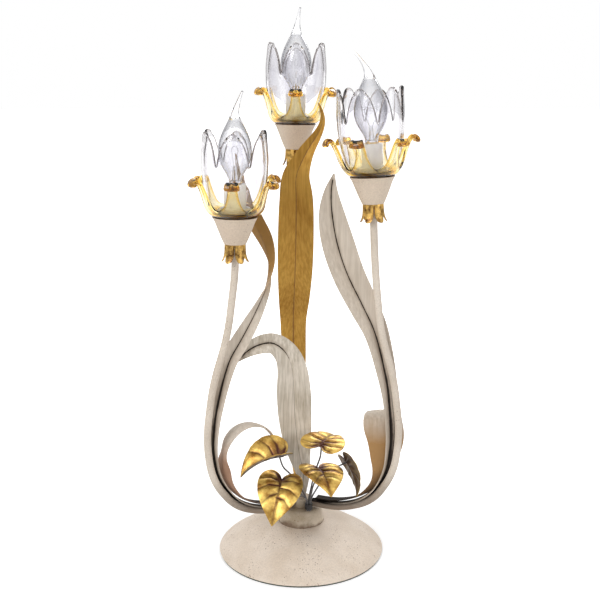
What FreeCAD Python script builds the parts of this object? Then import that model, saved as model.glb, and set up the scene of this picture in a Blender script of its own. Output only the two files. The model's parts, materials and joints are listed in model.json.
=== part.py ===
import FreeCAD, Part

import math
import os

from FreeCAD import Vector

# A table lamp of wrought steel: three flower heads stand on three bent tubes, 120 degrees apart.
# Every tube has a long creased leaf on its inner side, and five heart leaves grow from the hub.
# Millimetres. +Z is up and the origin is the middle of the felt under the base.
# The front of the lamp looks along -Y. Azimuths are measured from +X towards +Y.

# ---------------------------------------------------------------- sizes: base
BASE_DIAMETER = 190.0
BASE_CROWN_Z = 35.0
SHEET = 1.2
FELT_THICKNESS = 2.0
FELT_INSET = 0.8
WEIGHT_THICKNESS = 9.0
WEIGHT_RADIUS = 70.0
CABLE_HOLE_RADIUS = 4.0
CABLE_HOLE_Z = 6.2
SPACER_WALL = 2.4

# ------------------------------------------------- sizes: centre rod and hub
ROD_RADIUS = 5.0
ROD_BORE = 3.0
NUT_ACROSS_FLATS = 15.0
NUT_HEIGHT = 5.0
WASHER_RADIUS = 11.0
WASHER_THICKNESS = 1.6
COLLAR_RADIUS = 26.5
COLLAR_TOP_RADIUS = 20.0
COLLAR_HEIGHT = 17.5
HUB_RADIUS = 10.5
HUB_HEIGHT = 10.5
STEM_SINK = 0.55

# ----------------------------------------------------------- sizes: the stems
STEM_RADIUS = 4.0
STEM_WALL = 1.0
HEAD_CIRCLE_RADIUS = 84.2
# Corners of the bent tube, as (distance from the lamp's axis, height over the hub's middle).
STEM_BEND = [(50.0, 0.0), (88.0, 16.0), (112.0, 54.0), (117.5, 102.0), (109.5, 163.0), (93.5, 212.0)]
STEM_STRAIGHT_FROM = 280.0
BEND_SHARE = 0.45

# ---------------------------------------------------------- sizes: the heads
# name: (azimuth, distance from the lamp's axis, height of the cup's bottom)
HEADS = {
    "left": (215.66, 84.2, 368.2),
    "right": (335.66, 82.3, 407.9),
    "back": (94.7, 84.2, 455.3),
}
# name: (lean of the head in degrees, azimuth it leans to)
LEANS = {"left": (0.7, 0.0), "right": (2.8, 155.66), "back": (0.8, 0.0)}
# How far each tube's belly swings out, as a share of the drawn bend.
BELLIES = {"left": 1.2, "right": 1.0, "back": 1.0}
# Azimuth that the bent tip of each candle bulb points to.
BULB_TIPS = {"left": 305.0, "right": 176.0, "back": 285.0}
CUP_BOTTOM_RADIUS = 11.5
CUP_RIM_RADIUS = 23.8
CUP_HEIGHT = 28.0
SEPAL_COUNT = 6
SEPAL_LENGTH = 19.0
SEPAL_HALF_WIDTH = 4.6
PETAL_COUNT = 6
GLASS_WALL = 2.6
TULIP_RADIUS = 35.0
# Blown glass varies a little in height from flower to flower.
TULIP_HEIGHTS = {"left": 87.0, "right": 90.0, "back": 90.0}
NOTCH_DEPTH = 0.43
TULIP_TIP_HALF_WIDTH = 3.4
CALYX_TIP_RADIUS = 48.0
CALYX_HEIGHT = 38.0
# Half widths of one amber petal at its foot, halfway up and at its curled tip.
CALYX_PETAL_HALF_WIDTHS = (10.6, 5.6, 3.4)
# Turn of the six petals about each head, so that a petal faces the front or lies beside it.
PETAL_TURN = {"left": 270.0, "right": 248.0, "back": 270.0}

# ------------------------------------------ sizes: lampholder and small bulb
NIPPLE_RADIUS = 5.0
NIPPLE_BORE = 3.0
NIPPLE_TOP = 13.0
NIPPLE_SOCKET_DEPTH = 6.0
HOLDER_FOOT_RADIUS = 9.5
HOLDER_SKIRT_RADIUS = 13.9
HOLDER_SLEEVE_RADIUS = 11.3
HOLDER_FOOT_Z = 6.6
HOLDER_SKIRT_Z = 17.0
HOLDER_SHOULDER_Z = 38.0
HOLDER_TOP_Z = 62.0
SCREW_SHELL_WALL = 0.5
SCREW_SHELL_SINK = 1.0
CONTACT_ROOM = 3.0
CONTACT_WIDTH = 4.0
CONTACT_SHEET = 0.6
CONTACT_FOOT = 10.0
CONTACT_ARM = 8.0
SHADE_RING_RADIUS = 18.0
SHADE_RING_HEIGHT = 4.0
SHADE_RING_WALL = 1.9
SHADE_RING_FLANGE = 1.4
GRIP_COUNT = 12
GRIP_RADIUS = 0.9
CAP_RADIUS = 6.95
CAP_LENGTH = 20.0
CAP_WALL = 0.6
CAP_END = 4.0
BULB_RADIUS = 17.5
BULB_LENGTH = 91.0
BULB_WALL = 0.8
BULB_FLOOR = 1.5
BULB_TIP_REACH = 15.0
PINCH_HEIGHT = 15.0
FILAMENT_RISE = 31.0
FILAMENT_SPREAD = 6.5
FILAMENT_ARCH = 4.5
FILAMENT_RADIUS = 0.45
SUPPORT_RADIUS = 0.35

# --------------------------------------------------------- sizes: clearances
THREAD_GAP = 0.10
SEAT_GAP = 0.05
FREE_GAP = 0.30

# ------------------------------------------------------ sizes: leaves, wires
LEAF_SHEET = 1.2
LEAF_TIP = 0.8
LEAF_STEP = 7.0
LEAF_FOLD = 24.0
BACK_LEAF_ASIDE = 2.0
CURL_FOLD = 8.0
HEART_SHEET = 1.0
WIRE_RADIUS = 0.9
LEAD_PLAY = 0.7

# ------------------------------------------------------------ derived heights
DOME_EDGE_Z = FELT_THICKNESS
COLLAR_Z = BASE_CROWN_Z + SEAT_GAP
COLLAR_TOP_Z = COLLAR_Z + COLLAR_HEIGHT
HUB_Z = COLLAR_TOP_Z
HUB_MIDDLE_Z = HUB_Z + HUB_HEIGHT / 2
HUB_TOP_Z = HUB_Z + HUB_HEIGHT
LEAD_RADIUS = STEM_RADIUS - STEM_WALL - LEAD_PLAY
WEIGHT_Z = DOME_EDGE_Z + NUT_HEIGHT + WASHER_THICKNESS
CALYX_Z = CUP_HEIGHT + SEAT_GAP
TULIP_Z = CALYX_Z + GLASS_WALL + SEAT_GAP
RING_Z = TULIP_Z + GLASS_WALL + SEAT_GAP
GLASS_HOLE_RADIUS = HOLDER_SKIRT_RADIUS + FREE_GAP
CAP_TOP_Z = HOLDER_TOP_Z + 1.5
CAP_Z = CAP_TOP_Z - CAP_LENGTH
STUD_HEIGHT = 2.0
STUD_Z = CAP_Z - STUD_HEIGHT - SEAT_GAP


# ------------------------------------------------------------ general helpers
def polar(radius, azimuth, height):
    """The point at a distance from the lamp's axis, an azimuth in degrees and a height."""
    angle = math.radians(azimuth)
    return Vector(radius * math.cos(angle), radius * math.sin(angle), height)


def disc(radius, low, high, hole=0.0):
    """A flat round plate about Z between two heights, with a round hole if one is given."""
    plate = Part.makeCylinder(radius, high - low, Vector(0, 0, low))
    if hole:
        plate = plate.cut(Part.makeCylinder(hole, high - low, Vector(0, 0, low)))
    return plate


def line(a, b):
    return Part.LineSegment(a, b).toShape()


def smooth(points):
    """One smooth edge through a few points."""
    curve = Part.BSplineCurve()
    curve.interpolate(points)
    return curve.toShape()


def moved_sideways(outline, distance):
    """An (r, z) outline moved square to itself, to its left as it is walked."""
    moved = []
    for i, (r, z) in enumerate(outline):
        before = outline[max(i - 1, 0)]
        after = outline[min(i + 1, len(outline) - 1)]
        dr, dz = after[0] - before[0], after[1] - before[1]
        length = math.hypot(dr, dz)
        moved.append((r - dz / length * distance, z + dr / length * distance))
    return moved


def in_profile(outline):
    """An (r, z) outline as points of the XZ plane."""
    return [Vector(r, 0, z) for r, z in outline]


def spun(edges):
    """The closed profile turned once about Z."""
    face = Part.Face(Part.Wire(Part.__sortEdges__(edges)))
    return face.revolve(Vector(0, 0, 0), Vector(0, 0, 1), 360)


def levelled(outline, wall, end):
    """The inner point beside one end of an outline, for an end that is cut off level."""
    (r, z), (near_r, near_z) = outline[end], outline[1 if end == 0 else end - 1]
    slant = math.hypot(r - near_r, z - near_z) / abs(z - near_z)
    way = 1 if (near_z > z) == (end == 0) else -1
    return Vector(r - way * wall * slant, 0, z)


def spun_shell(outline, wall, floor_radius=None, level_ends=()):
    """A spun wall along a smooth outline, walked upwards or outwards, with the wall on its inner side.
    With a floor radius, the lower end runs on as a flat floor down to a hole of that radius."""
    outer = in_profile(outline)
    inner = in_profile(moved_sideways(outline, wall))
    for end in level_ends:
        inner[end] = levelled(outline, wall, end)
    if floor_radius is None:
        start = [line(outer[0], inner[0])]
    else:
        low_hole = Vector(floor_radius, 0, outer[0].z)
        high_hole = Vector(floor_radius, 0, outer[0].z + wall)
        inner[0] = Vector(outer[0].x, 0, outer[0].z + wall)
        start = [line(outer[0], low_hole), line(low_hole, high_hole), line(high_hole, inner[0])]
    end = line(outer[-1], inner[-1])
    return spun([smooth(outer), end, smooth(inner)] + start)


def rounded_path(corners):
    """Straight runs joined by tangent arcs, each as large as its two runs allow."""
    edges = []
    start = corners[0]
    for before, corner, after in zip(corners, corners[1:], corners[2:]):
        into = corner - before
        out = after - corner
        cut = BEND_SHARE * min(into.Length, out.Length)
        into.normalize()
        out.normalize()
        a = corner - into * cut
        b = corner + out * cut
        half_turn = into.getAngle(out) / 2
        radius = cut / math.tan(half_turn)
        bisector = out - into
        bisector.normalize()
        middle = corner + bisector * (radius / math.cos(half_turn) - radius)
        edges.append(line(start, a))
        edges.append(Part.Arc(a, middle, b).toShape())
        start = b
    edges.append(line(start, corners[-1]))
    return Part.Wire(edges)


def round_bar(path, radius):
    """A solid round bar along a path."""
    first = path.Edges[0]
    begin = first.valueAt(first.FirstParameter)
    tangent = first.tangentAt(first.FirstParameter)
    section = Part.Wire(Part.makeCircle(radius, begin, tangent))
    return path.makePipeShell([section], True, True)


def turned_copies(shape, count, first=0.0):
    """The shape turned about Z, once for each place of a round pattern."""
    copies = []
    for i in range(count):
        copy = shape.copy()
        copy.rotate(Vector(0, 0, 0), Vector(0, 0, 1), first + 360.0 / count * i)
        copies.append(copy)
    return copies


def hexagon(across_flats, low, high, hole):
    """A hexagon nut about Z."""
    radius = across_flats / 2 / math.cos(math.radians(30))
    corners = [polar(radius, 60 * i, low) for i in range(7)]
    nut = Part.Face(Part.makePolygon(corners)).extrude(Vector(0, 0, high - low))
    return nut.cut(disc(hole, low, high))


# ----------------------------------------------------------------------- base
def dome_outline():
    """The spun steel base: a steep rolled edge, then a low convex mound up to its flat crown."""
    edge = BASE_DIAMETER / 2
    rise = BASE_CROWN_Z - DOME_EDGE_Z
    shape = [
        (1.0, 0.0), (0.975, 0.085), (0.90, 0.245), (0.78, 0.475), (0.63, 0.73), (0.47, 0.915), (0.28, 1.0),
    ]
    return [(edge * r, DOME_EDGE_Z + rise * z) for r, z in shape]


def make_base_dome():
    wall = spun_shell(dome_outline(), SHEET, None, (0,))
    crown_radius = dome_outline()[-1][0]
    crown = disc(crown_radius, BASE_CROWN_Z - SHEET, BASE_CROWN_Z)
    dome = wall.fuse(crown).removeSplitter()
    dome = dome.cut(disc(ROD_RADIUS + THREAD_GAP, 0, BASE_CROWN_Z + SHEET))
    middle = Vector(0, 0, CABLE_HOLE_Z)
    inlet = Part.makeCylinder(CABLE_HOLE_RADIUS, BASE_DIAMETER / 2, middle, Vector(0, 1, 0))
    return dome.cut(inlet.cut(disc(WEIGHT_RADIUS, 0, BASE_CROWN_Z)))


def make_base_weight():
    weight = disc(WEIGHT_RADIUS, WEIGHT_Z, WEIGHT_Z + WEIGHT_THICKNESS, ROD_RADIUS + THREAD_GAP)
    cable_way = Part.makeBox(
        2 * CABLE_HOLE_RADIUS, WEIGHT_RADIUS, 2 * CABLE_HOLE_RADIUS,
        Vector(-CABLE_HOLE_RADIUS, WASHER_RADIUS + FREE_GAP, WEIGHT_Z - CABLE_HOLE_RADIUS),
    )
    return weight.cut(cable_way)


def make_base_felt():
    return disc(BASE_DIAMETER / 2 - FELT_INSET, 0, FELT_THICKNESS)


def make_centre_rod():
    return disc(ROD_RADIUS, DOME_EDGE_Z + FREE_GAP, HUB_MIDDLE_Z - STEM_RADIUS - FREE_GAP, ROD_BORE)


def make_base_washer():
    low = DOME_EDGE_Z + NUT_HEIGHT
    return disc(WASHER_RADIUS, low, low + WASHER_THICKNESS, ROD_RADIUS + THREAD_GAP)


def make_base_nut():
    hole = ROD_RADIUS + SEAT_GAP
    return hexagon(NUT_ACROSS_FLATS, DOME_EDGE_Z + FREE_GAP, DOME_EDGE_Z + NUT_HEIGHT, hole)


def make_spacer():
    """The sleeve that holds the weight down from the dome's crown."""
    low = WEIGHT_Z + WEIGHT_THICKNESS
    bore = ROD_RADIUS + THREAD_GAP
    return disc(bore + SPACER_WALL, low, BASE_CROWN_Z - SHEET, bore)


def make_collar_cup():
    """The small inverted cup on the crown, under the hub."""
    low, high = COLLAR_Z, COLLAR_TOP_Z
    rise = high - low
    outline = [
        (COLLAR_RADIUS, low), (COLLAR_RADIUS - 0.5, low + 0.35 * rise),
        (COLLAR_RADIUS - 1.7, low + 0.68 * rise), (COLLAR_RADIUS - 3.6, low + 0.91 * rise),
        (COLLAR_TOP_RADIUS, high),
    ]
    wall = spun_shell(outline, SHEET, None, (0,))
    top = disc(COLLAR_TOP_RADIUS, high - SHEET, high)
    cup = wall.fuse(top).removeSplitter()
    return cup.cut(disc(ROD_RADIUS + THREAD_GAP, low, high + SHEET))


# ---------------------------------------------------------------------- stems
def head_origin(head):
    return polar(HEADS[head][1], HEADS[head][0], HEADS[head][2])


def head_axis(head):
    """The way a head's own axis points up, with its lean."""
    lean, towards = LEANS[head]
    return polar(math.sin(math.radians(lean)), towards, math.cos(math.radians(lean)))


def stem_corners(head):
    """Corners of one tube, from inside the hub to just under its flower cup."""
    azimuth, _, cup_z = HEADS[head]
    straight_run = cup_z - HUB_MIDDLE_Z - STEM_STRAIGHT_FROM
    corners = [polar(HUB_RADIUS * STEM_SINK, azimuth, HUB_MIDDLE_Z)]
    for r, z in STEM_BEND:
        swung = r + max(r - HEAD_CIRCLE_RADIUS, 0) * (BELLIES[head] - 1)
        corners.append(polar(swung, azimuth, HUB_MIDDLE_Z + z))
    corners.append(head_origin(head) - head_axis(head) * straight_run)
    corners.append(head_origin(head) - head_axis(head) * SEAT_GAP)
    return corners


def make_stem(head):
    path = rounded_path(stem_corners(head))
    return round_bar(path, STEM_RADIUS).cut(round_bar(path, STEM_RADIUS - STEM_WALL))


def make_hub():
    """The turned boss that the three tubes are brazed into."""
    hub = disc(HUB_RADIUS, HUB_Z, HUB_TOP_Z)
    hub = hub.cut(disc(ROD_RADIUS + SEAT_GAP, HUB_Z, HUB_MIDDLE_Z - STEM_RADIUS))
    for azimuth, _, _ in HEADS.values():
        start = polar(HUB_RADIUS * STEM_SINK - SEAT_GAP, azimuth, HUB_MIDDLE_Z)
        socket = Part.makeCylinder(STEM_RADIUS + SEAT_GAP, HUB_RADIUS, start, polar(1, azimuth, 0))
        hub = hub.cut(socket)
    return hub


# ------------------------------------------------- heads, in their own frame
# A head's own frame has its origin in the middle of the cup's bottom and +Z along its axis.
def place_head(shape, head):
    lean, towards = LEANS[head]
    placed = shape.copy()
    placed.rotate(Vector(0, 0, 0), polar(1, towards + 90, 0), lean)
    placed.translate(head_origin(head))
    return placed


def make_cup():
    flare = CUP_RIM_RADIUS - CUP_BOTTOM_RADIUS
    shape = [(0.0, 0.0), (0.26, 0.25), (0.56, 0.58), (0.84, 0.88), (1.0, 1.0)]
    outline = [(CUP_BOTTOM_RADIUS + flare * r, CUP_HEIGHT * z) for r, z in shape]
    return spun_shell(outline, SHEET, NIPPLE_RADIUS + THREAD_GAP, (-1,))


def sepal_outline():
    """Half of one lobed sepal, flat, hanging from the disc's edge: (half width, distance down)."""
    shape = [(0.93, 0.0), (1.0, 0.4), (0.95, 0.72), (0.66, 0.93), (0.0, 1.0)]
    return [(SEPAL_HALF_WIDTH * w, SEPAL_LENGTH * d) for w, d in shape]


def make_sepals():
    """A disc under the cup with six lobed sepals that hang down and flick outwards."""
    top = -SEAT_GAP
    disc_radius = CUP_BOTTOM_RADIUS - 0.5
    outline = [
        (disc_radius + 3.8, top - SEPAL_LENGTH), (disc_radius + 1.2, top - SEPAL_LENGTH * 0.7),
        (disc_radius + 0.3, top - SEPAL_LENGTH * 0.35), (disc_radius, top),
    ]
    skirt = spun_shell(outline, LEAF_SHEET)
    right = [Vector(w, 0, top - d) for w, d in sepal_outline()]
    left = [Vector(-p.x, 0, p.z) for p in reversed(right)]
    face = Part.Face(Part.Wire([smooth(right), smooth(left), line(left[-1], right[0])]))
    blade = face.extrude(Vector(0, -2 * disc_radius, 0))
    blades = turned_copies(blade, SEPAL_COUNT, 30.0)
    skirt = skirt.common(blades[0].multiFuse(blades[1:]))
    plate = disc(disc_radius, top - LEAF_SHEET, top, NIPPLE_RADIUS + THREAD_GAP)
    return plate.fuse(skirt).removeSplitter()


def make_calyx():
    """The outer amber glass: a shallow bowl whose six narrow petals curl outwards."""
    z, rise, reach = CALYX_Z, CALYX_HEIGHT, CALYX_TIP_RADIUS
    outline = [
        (CUP_RIM_RADIUS - 0.8, z), (reach * 0.62, z + rise * 0.17), (reach * 0.76, z + rise * 0.42),
        (reach * 0.85, z + rise * 0.68), (reach * 0.93, z + rise * 0.92),
        (reach * 0.99, z + rise * 0.99), (reach * 1.01, z + rise * 0.88),
    ]
    wall = spun_shell(outline, GLASS_WALL, GLASS_HOLE_RADIUS)
    low = z + rise * 0.28
    foot_half, waist_half, tip_half = CALYX_PETAL_HALF_WIDTHS
    waist = z + rise * 0.66
    tip = z + rise + GLASS_WALL
    right = smooth([Vector(foot_half, 0, low), Vector(waist_half, 0, waist), Vector(tip_half, 0, tip)])
    left = smooth([Vector(-tip_half, 0, tip), Vector(-waist_half, 0, waist), Vector(-foot_half, 0, low)])
    across_tip = line(Vector(tip_half, 0, tip), Vector(-tip_half, 0, tip))
    across_foot = line(Vector(-foot_half, 0, low), Vector(foot_half, 0, low))
    outline = Part.Wire([right, across_tip, left, across_foot])
    petal = Part.Face(outline).extrude(Vector(0, -2 * reach, 0))
    keep = [disc(2 * reach, z - 1, low)] + turned_copies(petal, PETAL_COUNT)
    return wall.common(keep[0].multiFuse(keep[1:]))


def make_tulip(height):
    """The clear inner glass: a tall tulip of six petals, parted by pointed notches."""
    z = TULIP_Z
    wide = TULIP_RADIUS
    shape = [(0.80, 0.09), (0.91, 0.24), (0.985, 0.46), (1.0, 0.66), (0.965, 0.86), (0.93, 1.0)]
    outline = [(CUP_RIM_RADIUS - 3.6, z)] + [(wide * r, z + height * share) for r, share in shape]
    wall = spun_shell(outline, GLASS_WALL, GLASS_HOLE_RADIUS)
    top = z + height + GLASS_WALL
    deep = z + height * (1 - NOTCH_DEPTH)
    half = math.pi * wide / PETAL_COUNT - TULIP_TIP_HALF_WIDTH
    apex = Vector(0, 0, deep)
    waist = Vector(half * 0.34, 0, top - (top - deep) * 0.40)
    right = Part.Arc(apex, waist, Vector(half, 0, top)).toShape()
    left = Part.Arc(Vector(-half, 0, top), Vector(-waist.x, 0, waist.z), apex).toShape()
    lid = line(Vector(half, 0, top), Vector(-half, 0, top))
    blank = Part.Face(Part.Wire([right, lid, left]))
    blank.translate(Vector(0, -wide / 2, 0))
    notch = blank.extrude(Vector(0, -wide, 0))
    for cutter in turned_copies(notch, PETAL_COUNT, 180.0 / PETAL_COUNT):
        wall = wall.cut(cutter)
    return wall


def make_nipple():
    """The threaded tube that clamps sepals, cup and lampholder, and takes the stem's end."""
    low = -NIPPLE_SOCKET_DEPTH - SEAT_GAP
    nipple = disc(NIPPLE_RADIUS, -SEAT_GAP, NIPPLE_TOP, NIPPLE_BORE)
    sleeve = disc(NIPPLE_RADIUS, low, -SEAT_GAP, STEM_RADIUS + SEAT_GAP)
    return nipple.fuse(sleeve).removeSplitter()


def make_lock_nut():
    return hexagon(NUT_ACROSS_FLATS, SHEET + SEAT_GAP, HOLDER_FOOT_Z - SEAT_GAP, NIPPLE_RADIUS + SEAT_GAP)


def make_lampholder():
    """The candle lampholder: a foot, a threaded skirt for the ring, and a tall sleeve."""
    foot = disc(HOLDER_FOOT_RADIUS, HOLDER_FOOT_Z, HOLDER_SKIRT_Z)
    skirt = disc(HOLDER_SKIRT_RADIUS, HOLDER_SKIRT_Z, HOLDER_SHOULDER_Z)
    sleeve = disc(HOLDER_SLEEVE_RADIUS, HOLDER_SHOULDER_Z, HOLDER_TOP_Z)
    body = foot.multiFuse([skirt, sleeve]).removeSplitter()
    shell_radius = CAP_RADIUS + THREAD_GAP + SCREW_SHELL_WALL + SEAT_GAP
    body = body.cut(disc(shell_radius, STUD_Z - CONTACT_ROOM, HOLDER_TOP_Z))
    return body.cut(disc(NIPPLE_RADIUS + SEAT_GAP, HOLDER_FOOT_Z, NIPPLE_TOP + SEAT_GAP))


def make_screw_shell():
    """The brass sleeve in the lampholder that the bulb's cap screws into."""
    bore = CAP_RADIUS + THREAD_GAP
    return disc(bore + SCREW_SHELL_WALL, CAP_Z, HOLDER_TOP_Z - SCREW_SHELL_SINK, bore)


def make_contact_spring():
    """The brass tongue under the bulb: a flat foot, a riser and a sprung arm below the stud."""
    floor = STUD_Z - CONTACT_ROOM + SEAT_GAP
    top = STUD_Z - FREE_GAP
    x, y = -CONTACT_FOOT / 2, -CONTACT_WIDTH / 2
    foot = Part.makeBox(CONTACT_FOOT, CONTACT_WIDTH, CONTACT_SHEET, Vector(x, y, floor))
    riser = Part.makeBox(CONTACT_SHEET, CONTACT_WIDTH, top - floor, Vector(x, y, floor))
    arm = Part.makeBox(CONTACT_ARM, CONTACT_WIDTH, CONTACT_SHEET, Vector(x, y, top - CONTACT_SHEET))
    return foot.multiFuse([riser, arm]).removeSplitter()


def make_shade_ring():
    """The threaded ring that holds both glasses down on the cup."""
    bore = HOLDER_SKIRT_RADIUS + THREAD_GAP
    flange = disc(SHADE_RING_RADIUS, RING_Z, RING_Z + SHADE_RING_FLANGE, bore)
    body = disc(bore + SHADE_RING_WALL, RING_Z, RING_Z + SHADE_RING_HEIGHT, bore)
    ring = flange.fuse(body).removeSplitter()
    at = Vector(bore + SHADE_RING_WALL + GRIP_RADIUS / 4, 0, RING_Z + SHADE_RING_FLANGE)
    grip = Part.makeCylinder(GRIP_RADIUS, SHADE_RING_HEIGHT, at)
    for notch in turned_copies(grip, GRIP_COUNT):
        ring = ring.cut(notch)
    return ring


# --------------------------------------------------------------------- a bulb
def bulb_body(outline):
    """A round body on the bulb's axis, whose side follows the (r, z) outline."""
    side = in_profile(outline)
    low, high = Vector(0, 0, side[0].z), Vector(0, 0, side[-1].z)
    return spun([smooth(side), line(side[-1], high), line(high, low), line(low, side[0])])


def make_bulb_glass():
    """The thin candle envelope, closed at its foot, with a solid tail drawn out to a bent tip."""
    low = CAP_TOP_Z + SEAT_GAP
    outline = [
        (CAP_RADIUS - 0.7, low), (CAP_RADIUS + 0.4, low + 5.0), (BULB_RADIUS * 0.72, low + 14.0),
        (BULB_RADIUS * 0.95, low + 24.0), (BULB_RADIUS, low + 32.0), (BULB_RADIUS * 0.89, low + 43.0),
        (BULB_RADIUS * 0.63, low + 54.0), (BULB_RADIUS * 0.37, low + 63.0),
    ]
    neck_radius, neck_z = outline[-1]
    rise = CAP_TOP_Z + BULB_LENGTH - neck_z
    rings = [Part.Wire(Part.makeCircle(neck_radius, Vector(0, 0, neck_z)))]
    for share, radius_share in ((0.25, 0.62), (0.5, 0.38), (0.75, 0.24), (1.0, 0.15)):
        way = Vector(1.6 * BULB_TIP_REACH * share ** 0.6, 0, rise)
        centre = Vector(BULB_TIP_REACH * share ** 1.6, 0, neck_z + rise * share)
        rings.append(Part.Wire(Part.makeCircle(neck_radius * radius_share, centre, way)))
    envelope = bulb_body(outline).fuse(Part.makeLoft(rings, True, False))
    inside = [(r - BULB_WALL, z) for r, z in outline]
    inside[0] = (inside[0][0], low + BULB_FLOOR)
    inside[-1] = (inside[-1][0], neck_z - BULB_WALL)
    return envelope.cut(bulb_body(inside))


def make_bulb_cap():
    """The brass screw cap: a shell open at the top, with an insulated end."""
    shell = disc(CAP_RADIUS, CAP_Z, CAP_TOP_Z)
    hollow = disc(CAP_RADIUS - CAP_WALL, CAP_Z + CAP_END, CAP_TOP_Z)
    return shell.cut(hollow)


def make_bulb_stud():
    """The solder contact at the cap's end, round about the bulb's axis."""
    return Part.makeCone(1.8, 2.6, STUD_HEIGHT, Vector(0, 0, STUD_Z))


def make_bulb_mount():
    """The glass pinch, two support wires and the looped filament inside the bulb."""
    base_z = CAP_TOP_Z + SEAT_GAP + BULB_FLOOR
    parts = [Part.makeCone(3.2, 1.8, PINCH_HEIGHT, Vector(0, 0, base_z))]
    ends = []
    for side in (-1, 1):
        foot = Vector(side * 1.2, 0, base_z + PINCH_HEIGHT * 0.9)
        knee = Vector(side * FILAMENT_SPREAD * 0.6, 0, base_z + FILAMENT_RISE * 0.68)
        top = Vector(side * FILAMENT_SPREAD, 0, base_z + FILAMENT_RISE)
        parts.append(round_bar(rounded_path([foot, knee, top]), SUPPORT_RADIUS))
        ends.append(top - Vector(0, 0, FILAMENT_RADIUS))
    crown = Vector(0, 0, ends[0].z + FILAMENT_ARCH)
    arch = Part.Arc(ends[0], crown, ends[1])
    parts.append(round_bar(Part.Wire(arch.toShape()), FILAMENT_RADIUS))
    return parts[0].multiFuse(parts[1:])


# --------------------------------------------------------------------- leaves
def crease_section(keel, along, facing, half_width, fold=LEAF_FOLD):
    """A thin V across a leaf: the keel is its crease, and its hollow looks towards facing."""
    along = Vector(along)
    along.normalize()
    look = facing - along * facing.dot(along)
    look.normalize()
    side = along.cross(look)
    rise, reach = math.sin(math.radians(fold)), math.cos(math.radians(fold))
    left = keel + (look * rise - side * reach) * half_width
    right = keel + (look * rise + side * reach) * half_width
    back = look * (-LEAF_SHEET / reach)
    ring = [left, keel, right, right + back, keel + back, left + back, left]
    return Part.makePolygon(ring)


def look_at(azimuth, elevation=0.0):
    flat = math.cos(math.radians(elevation))
    return Vector(
        math.cos(math.radians(azimuth)) * flat,
        math.sin(math.radians(azimuth)) * flat,
        math.sin(math.radians(elevation)),
    )


def slope_at(values, run, i):
    low, high = max(i - 1, 0), min(i + 1, len(run) - 1)
    return (values[high] - values[low]) * (1 / (run[high] - run[low]))


def blended(values, run, at):
    """The value at a distance along the leaf, on a smooth curve through the values at its stations."""
    i = max(k for k in range(len(run) - 1) if run[k] <= at)
    span = run[i + 1] - run[i]
    u = (at - run[i]) / span
    ends = values[i] * (2 * u**3 - 3 * u**2 + 1) + values[i + 1] * (3 * u**2 - 2 * u**3)
    start_slope = slope_at(values, run, i) * (span * (u**3 - 2 * u**2 + u))
    end_slope = slope_at(values, run, i + 1) * (span * (u**3 - u**2))
    return ends + start_slope + end_slope


def leaf(stations, fold=LEAF_FOLD):
    """A creased leaf through stations of (keel point, half width, way its hollow looks)."""
    keels = [s[0] for s in stations]
    widths = [s[1] for s in stations]
    ways = [s[2].normalize() for s in stations]
    run = [0.0]
    for a, b in zip(keels, keels[1:]):
        run.append(run[-1] + (b - a).Length)
    count = round(run[-1] / LEAF_STEP)
    at = [run[-1] * i / count for i in range(count + 1)]
    points = [blended(keels, run, t) for t in at]
    sections = []
    for i, t in enumerate(at):
        along = points[min(i + 1, count)] - points[max(i - 1, 0)]
        half_width = max(blended(widths, run, t), LEAF_TIP)
        sections.append(crease_section(points[i], along, blended(ways, run, t), half_width, fold))
    return Part.makeLoft(sections, True, True)


def beside_stem(head, distance_out, half_width, twist, inward, aside=0.0):
    """A leaf station beside the bent tube, so far along it from the hub. Its keel lies inward of
    the tube's wall and aside of it. Its hollow looks outward, turned by twist about the tube."""
    across = polar(1, HEADS[head][0] + 90, 0)
    left = distance_out
    for edge in rounded_path(stem_corners(head)).Edges:
        if left <= edge.Length:
            break
        left -= edge.Length
    at = edge.getParameterByLength(left)
    point, along = edge.valueAt(at), edge.tangentAt(at)
    outward = across.cross(along)
    turn = math.radians(twist)
    keel = point - outward * (STEM_RADIUS + inward) + across * aside
    return keel, half_width, outward * math.cos(turn) + across * math.sin(turn)


def in_plane_of(head, radius, height, sideways=0.0):
    """A point in the upright plane of one tube, or moved square to that plane."""
    azimuth = HEADS[head][0]
    return polar(radius, azimuth, height) + polar(sideways, azimuth + 90, 0)


def make_leaf_right():
    """Ivory outside towards the front: it leaves the tube at half height and leans to the middle."""
    side = "right"
    lower = [
        (9, 4.0, 0, 1.0, 0.0), (30, 4.5, -4, 1.2, 0.0), (50, 5.0, -8, 1.4, 0.0), (70, 5.2, -13, 1.7, 0.2),
        (92, 5.5, -20, 2.0, 0.7), (112, 6.0, -30, 2.5, 1.4), (132, 6.6, -38, 3.5, 1.7),
        (152, 7.5, -44, 4.3, 1.6), (172, 8.2, -45, 4.9, 1.6), (206, 8.6, -45, 5.2, 1.6),
        (236, 11.5, -46, 4.6, 1.6),
    ]
    stations = [beside_stem(side, *station) for station in lower]
    upper = [
        (86, 268, 2.6, 15.0, 289), (72, 297, 1.0, 17.5, 285), (54, 331, 0, 19.0, 283),
        (42, 364, 0, 19.0, 278), (36, 396, 0, 15.0, 264), (35, 419, 0, 8.0, 260), (38, 437, 0, 0.8, 262),
    ]
    stations += [(in_plane_of(side, r, z, out), w, look_at(a)) for r, z, out, w, a in upper]
    return leaf(stations)


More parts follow.
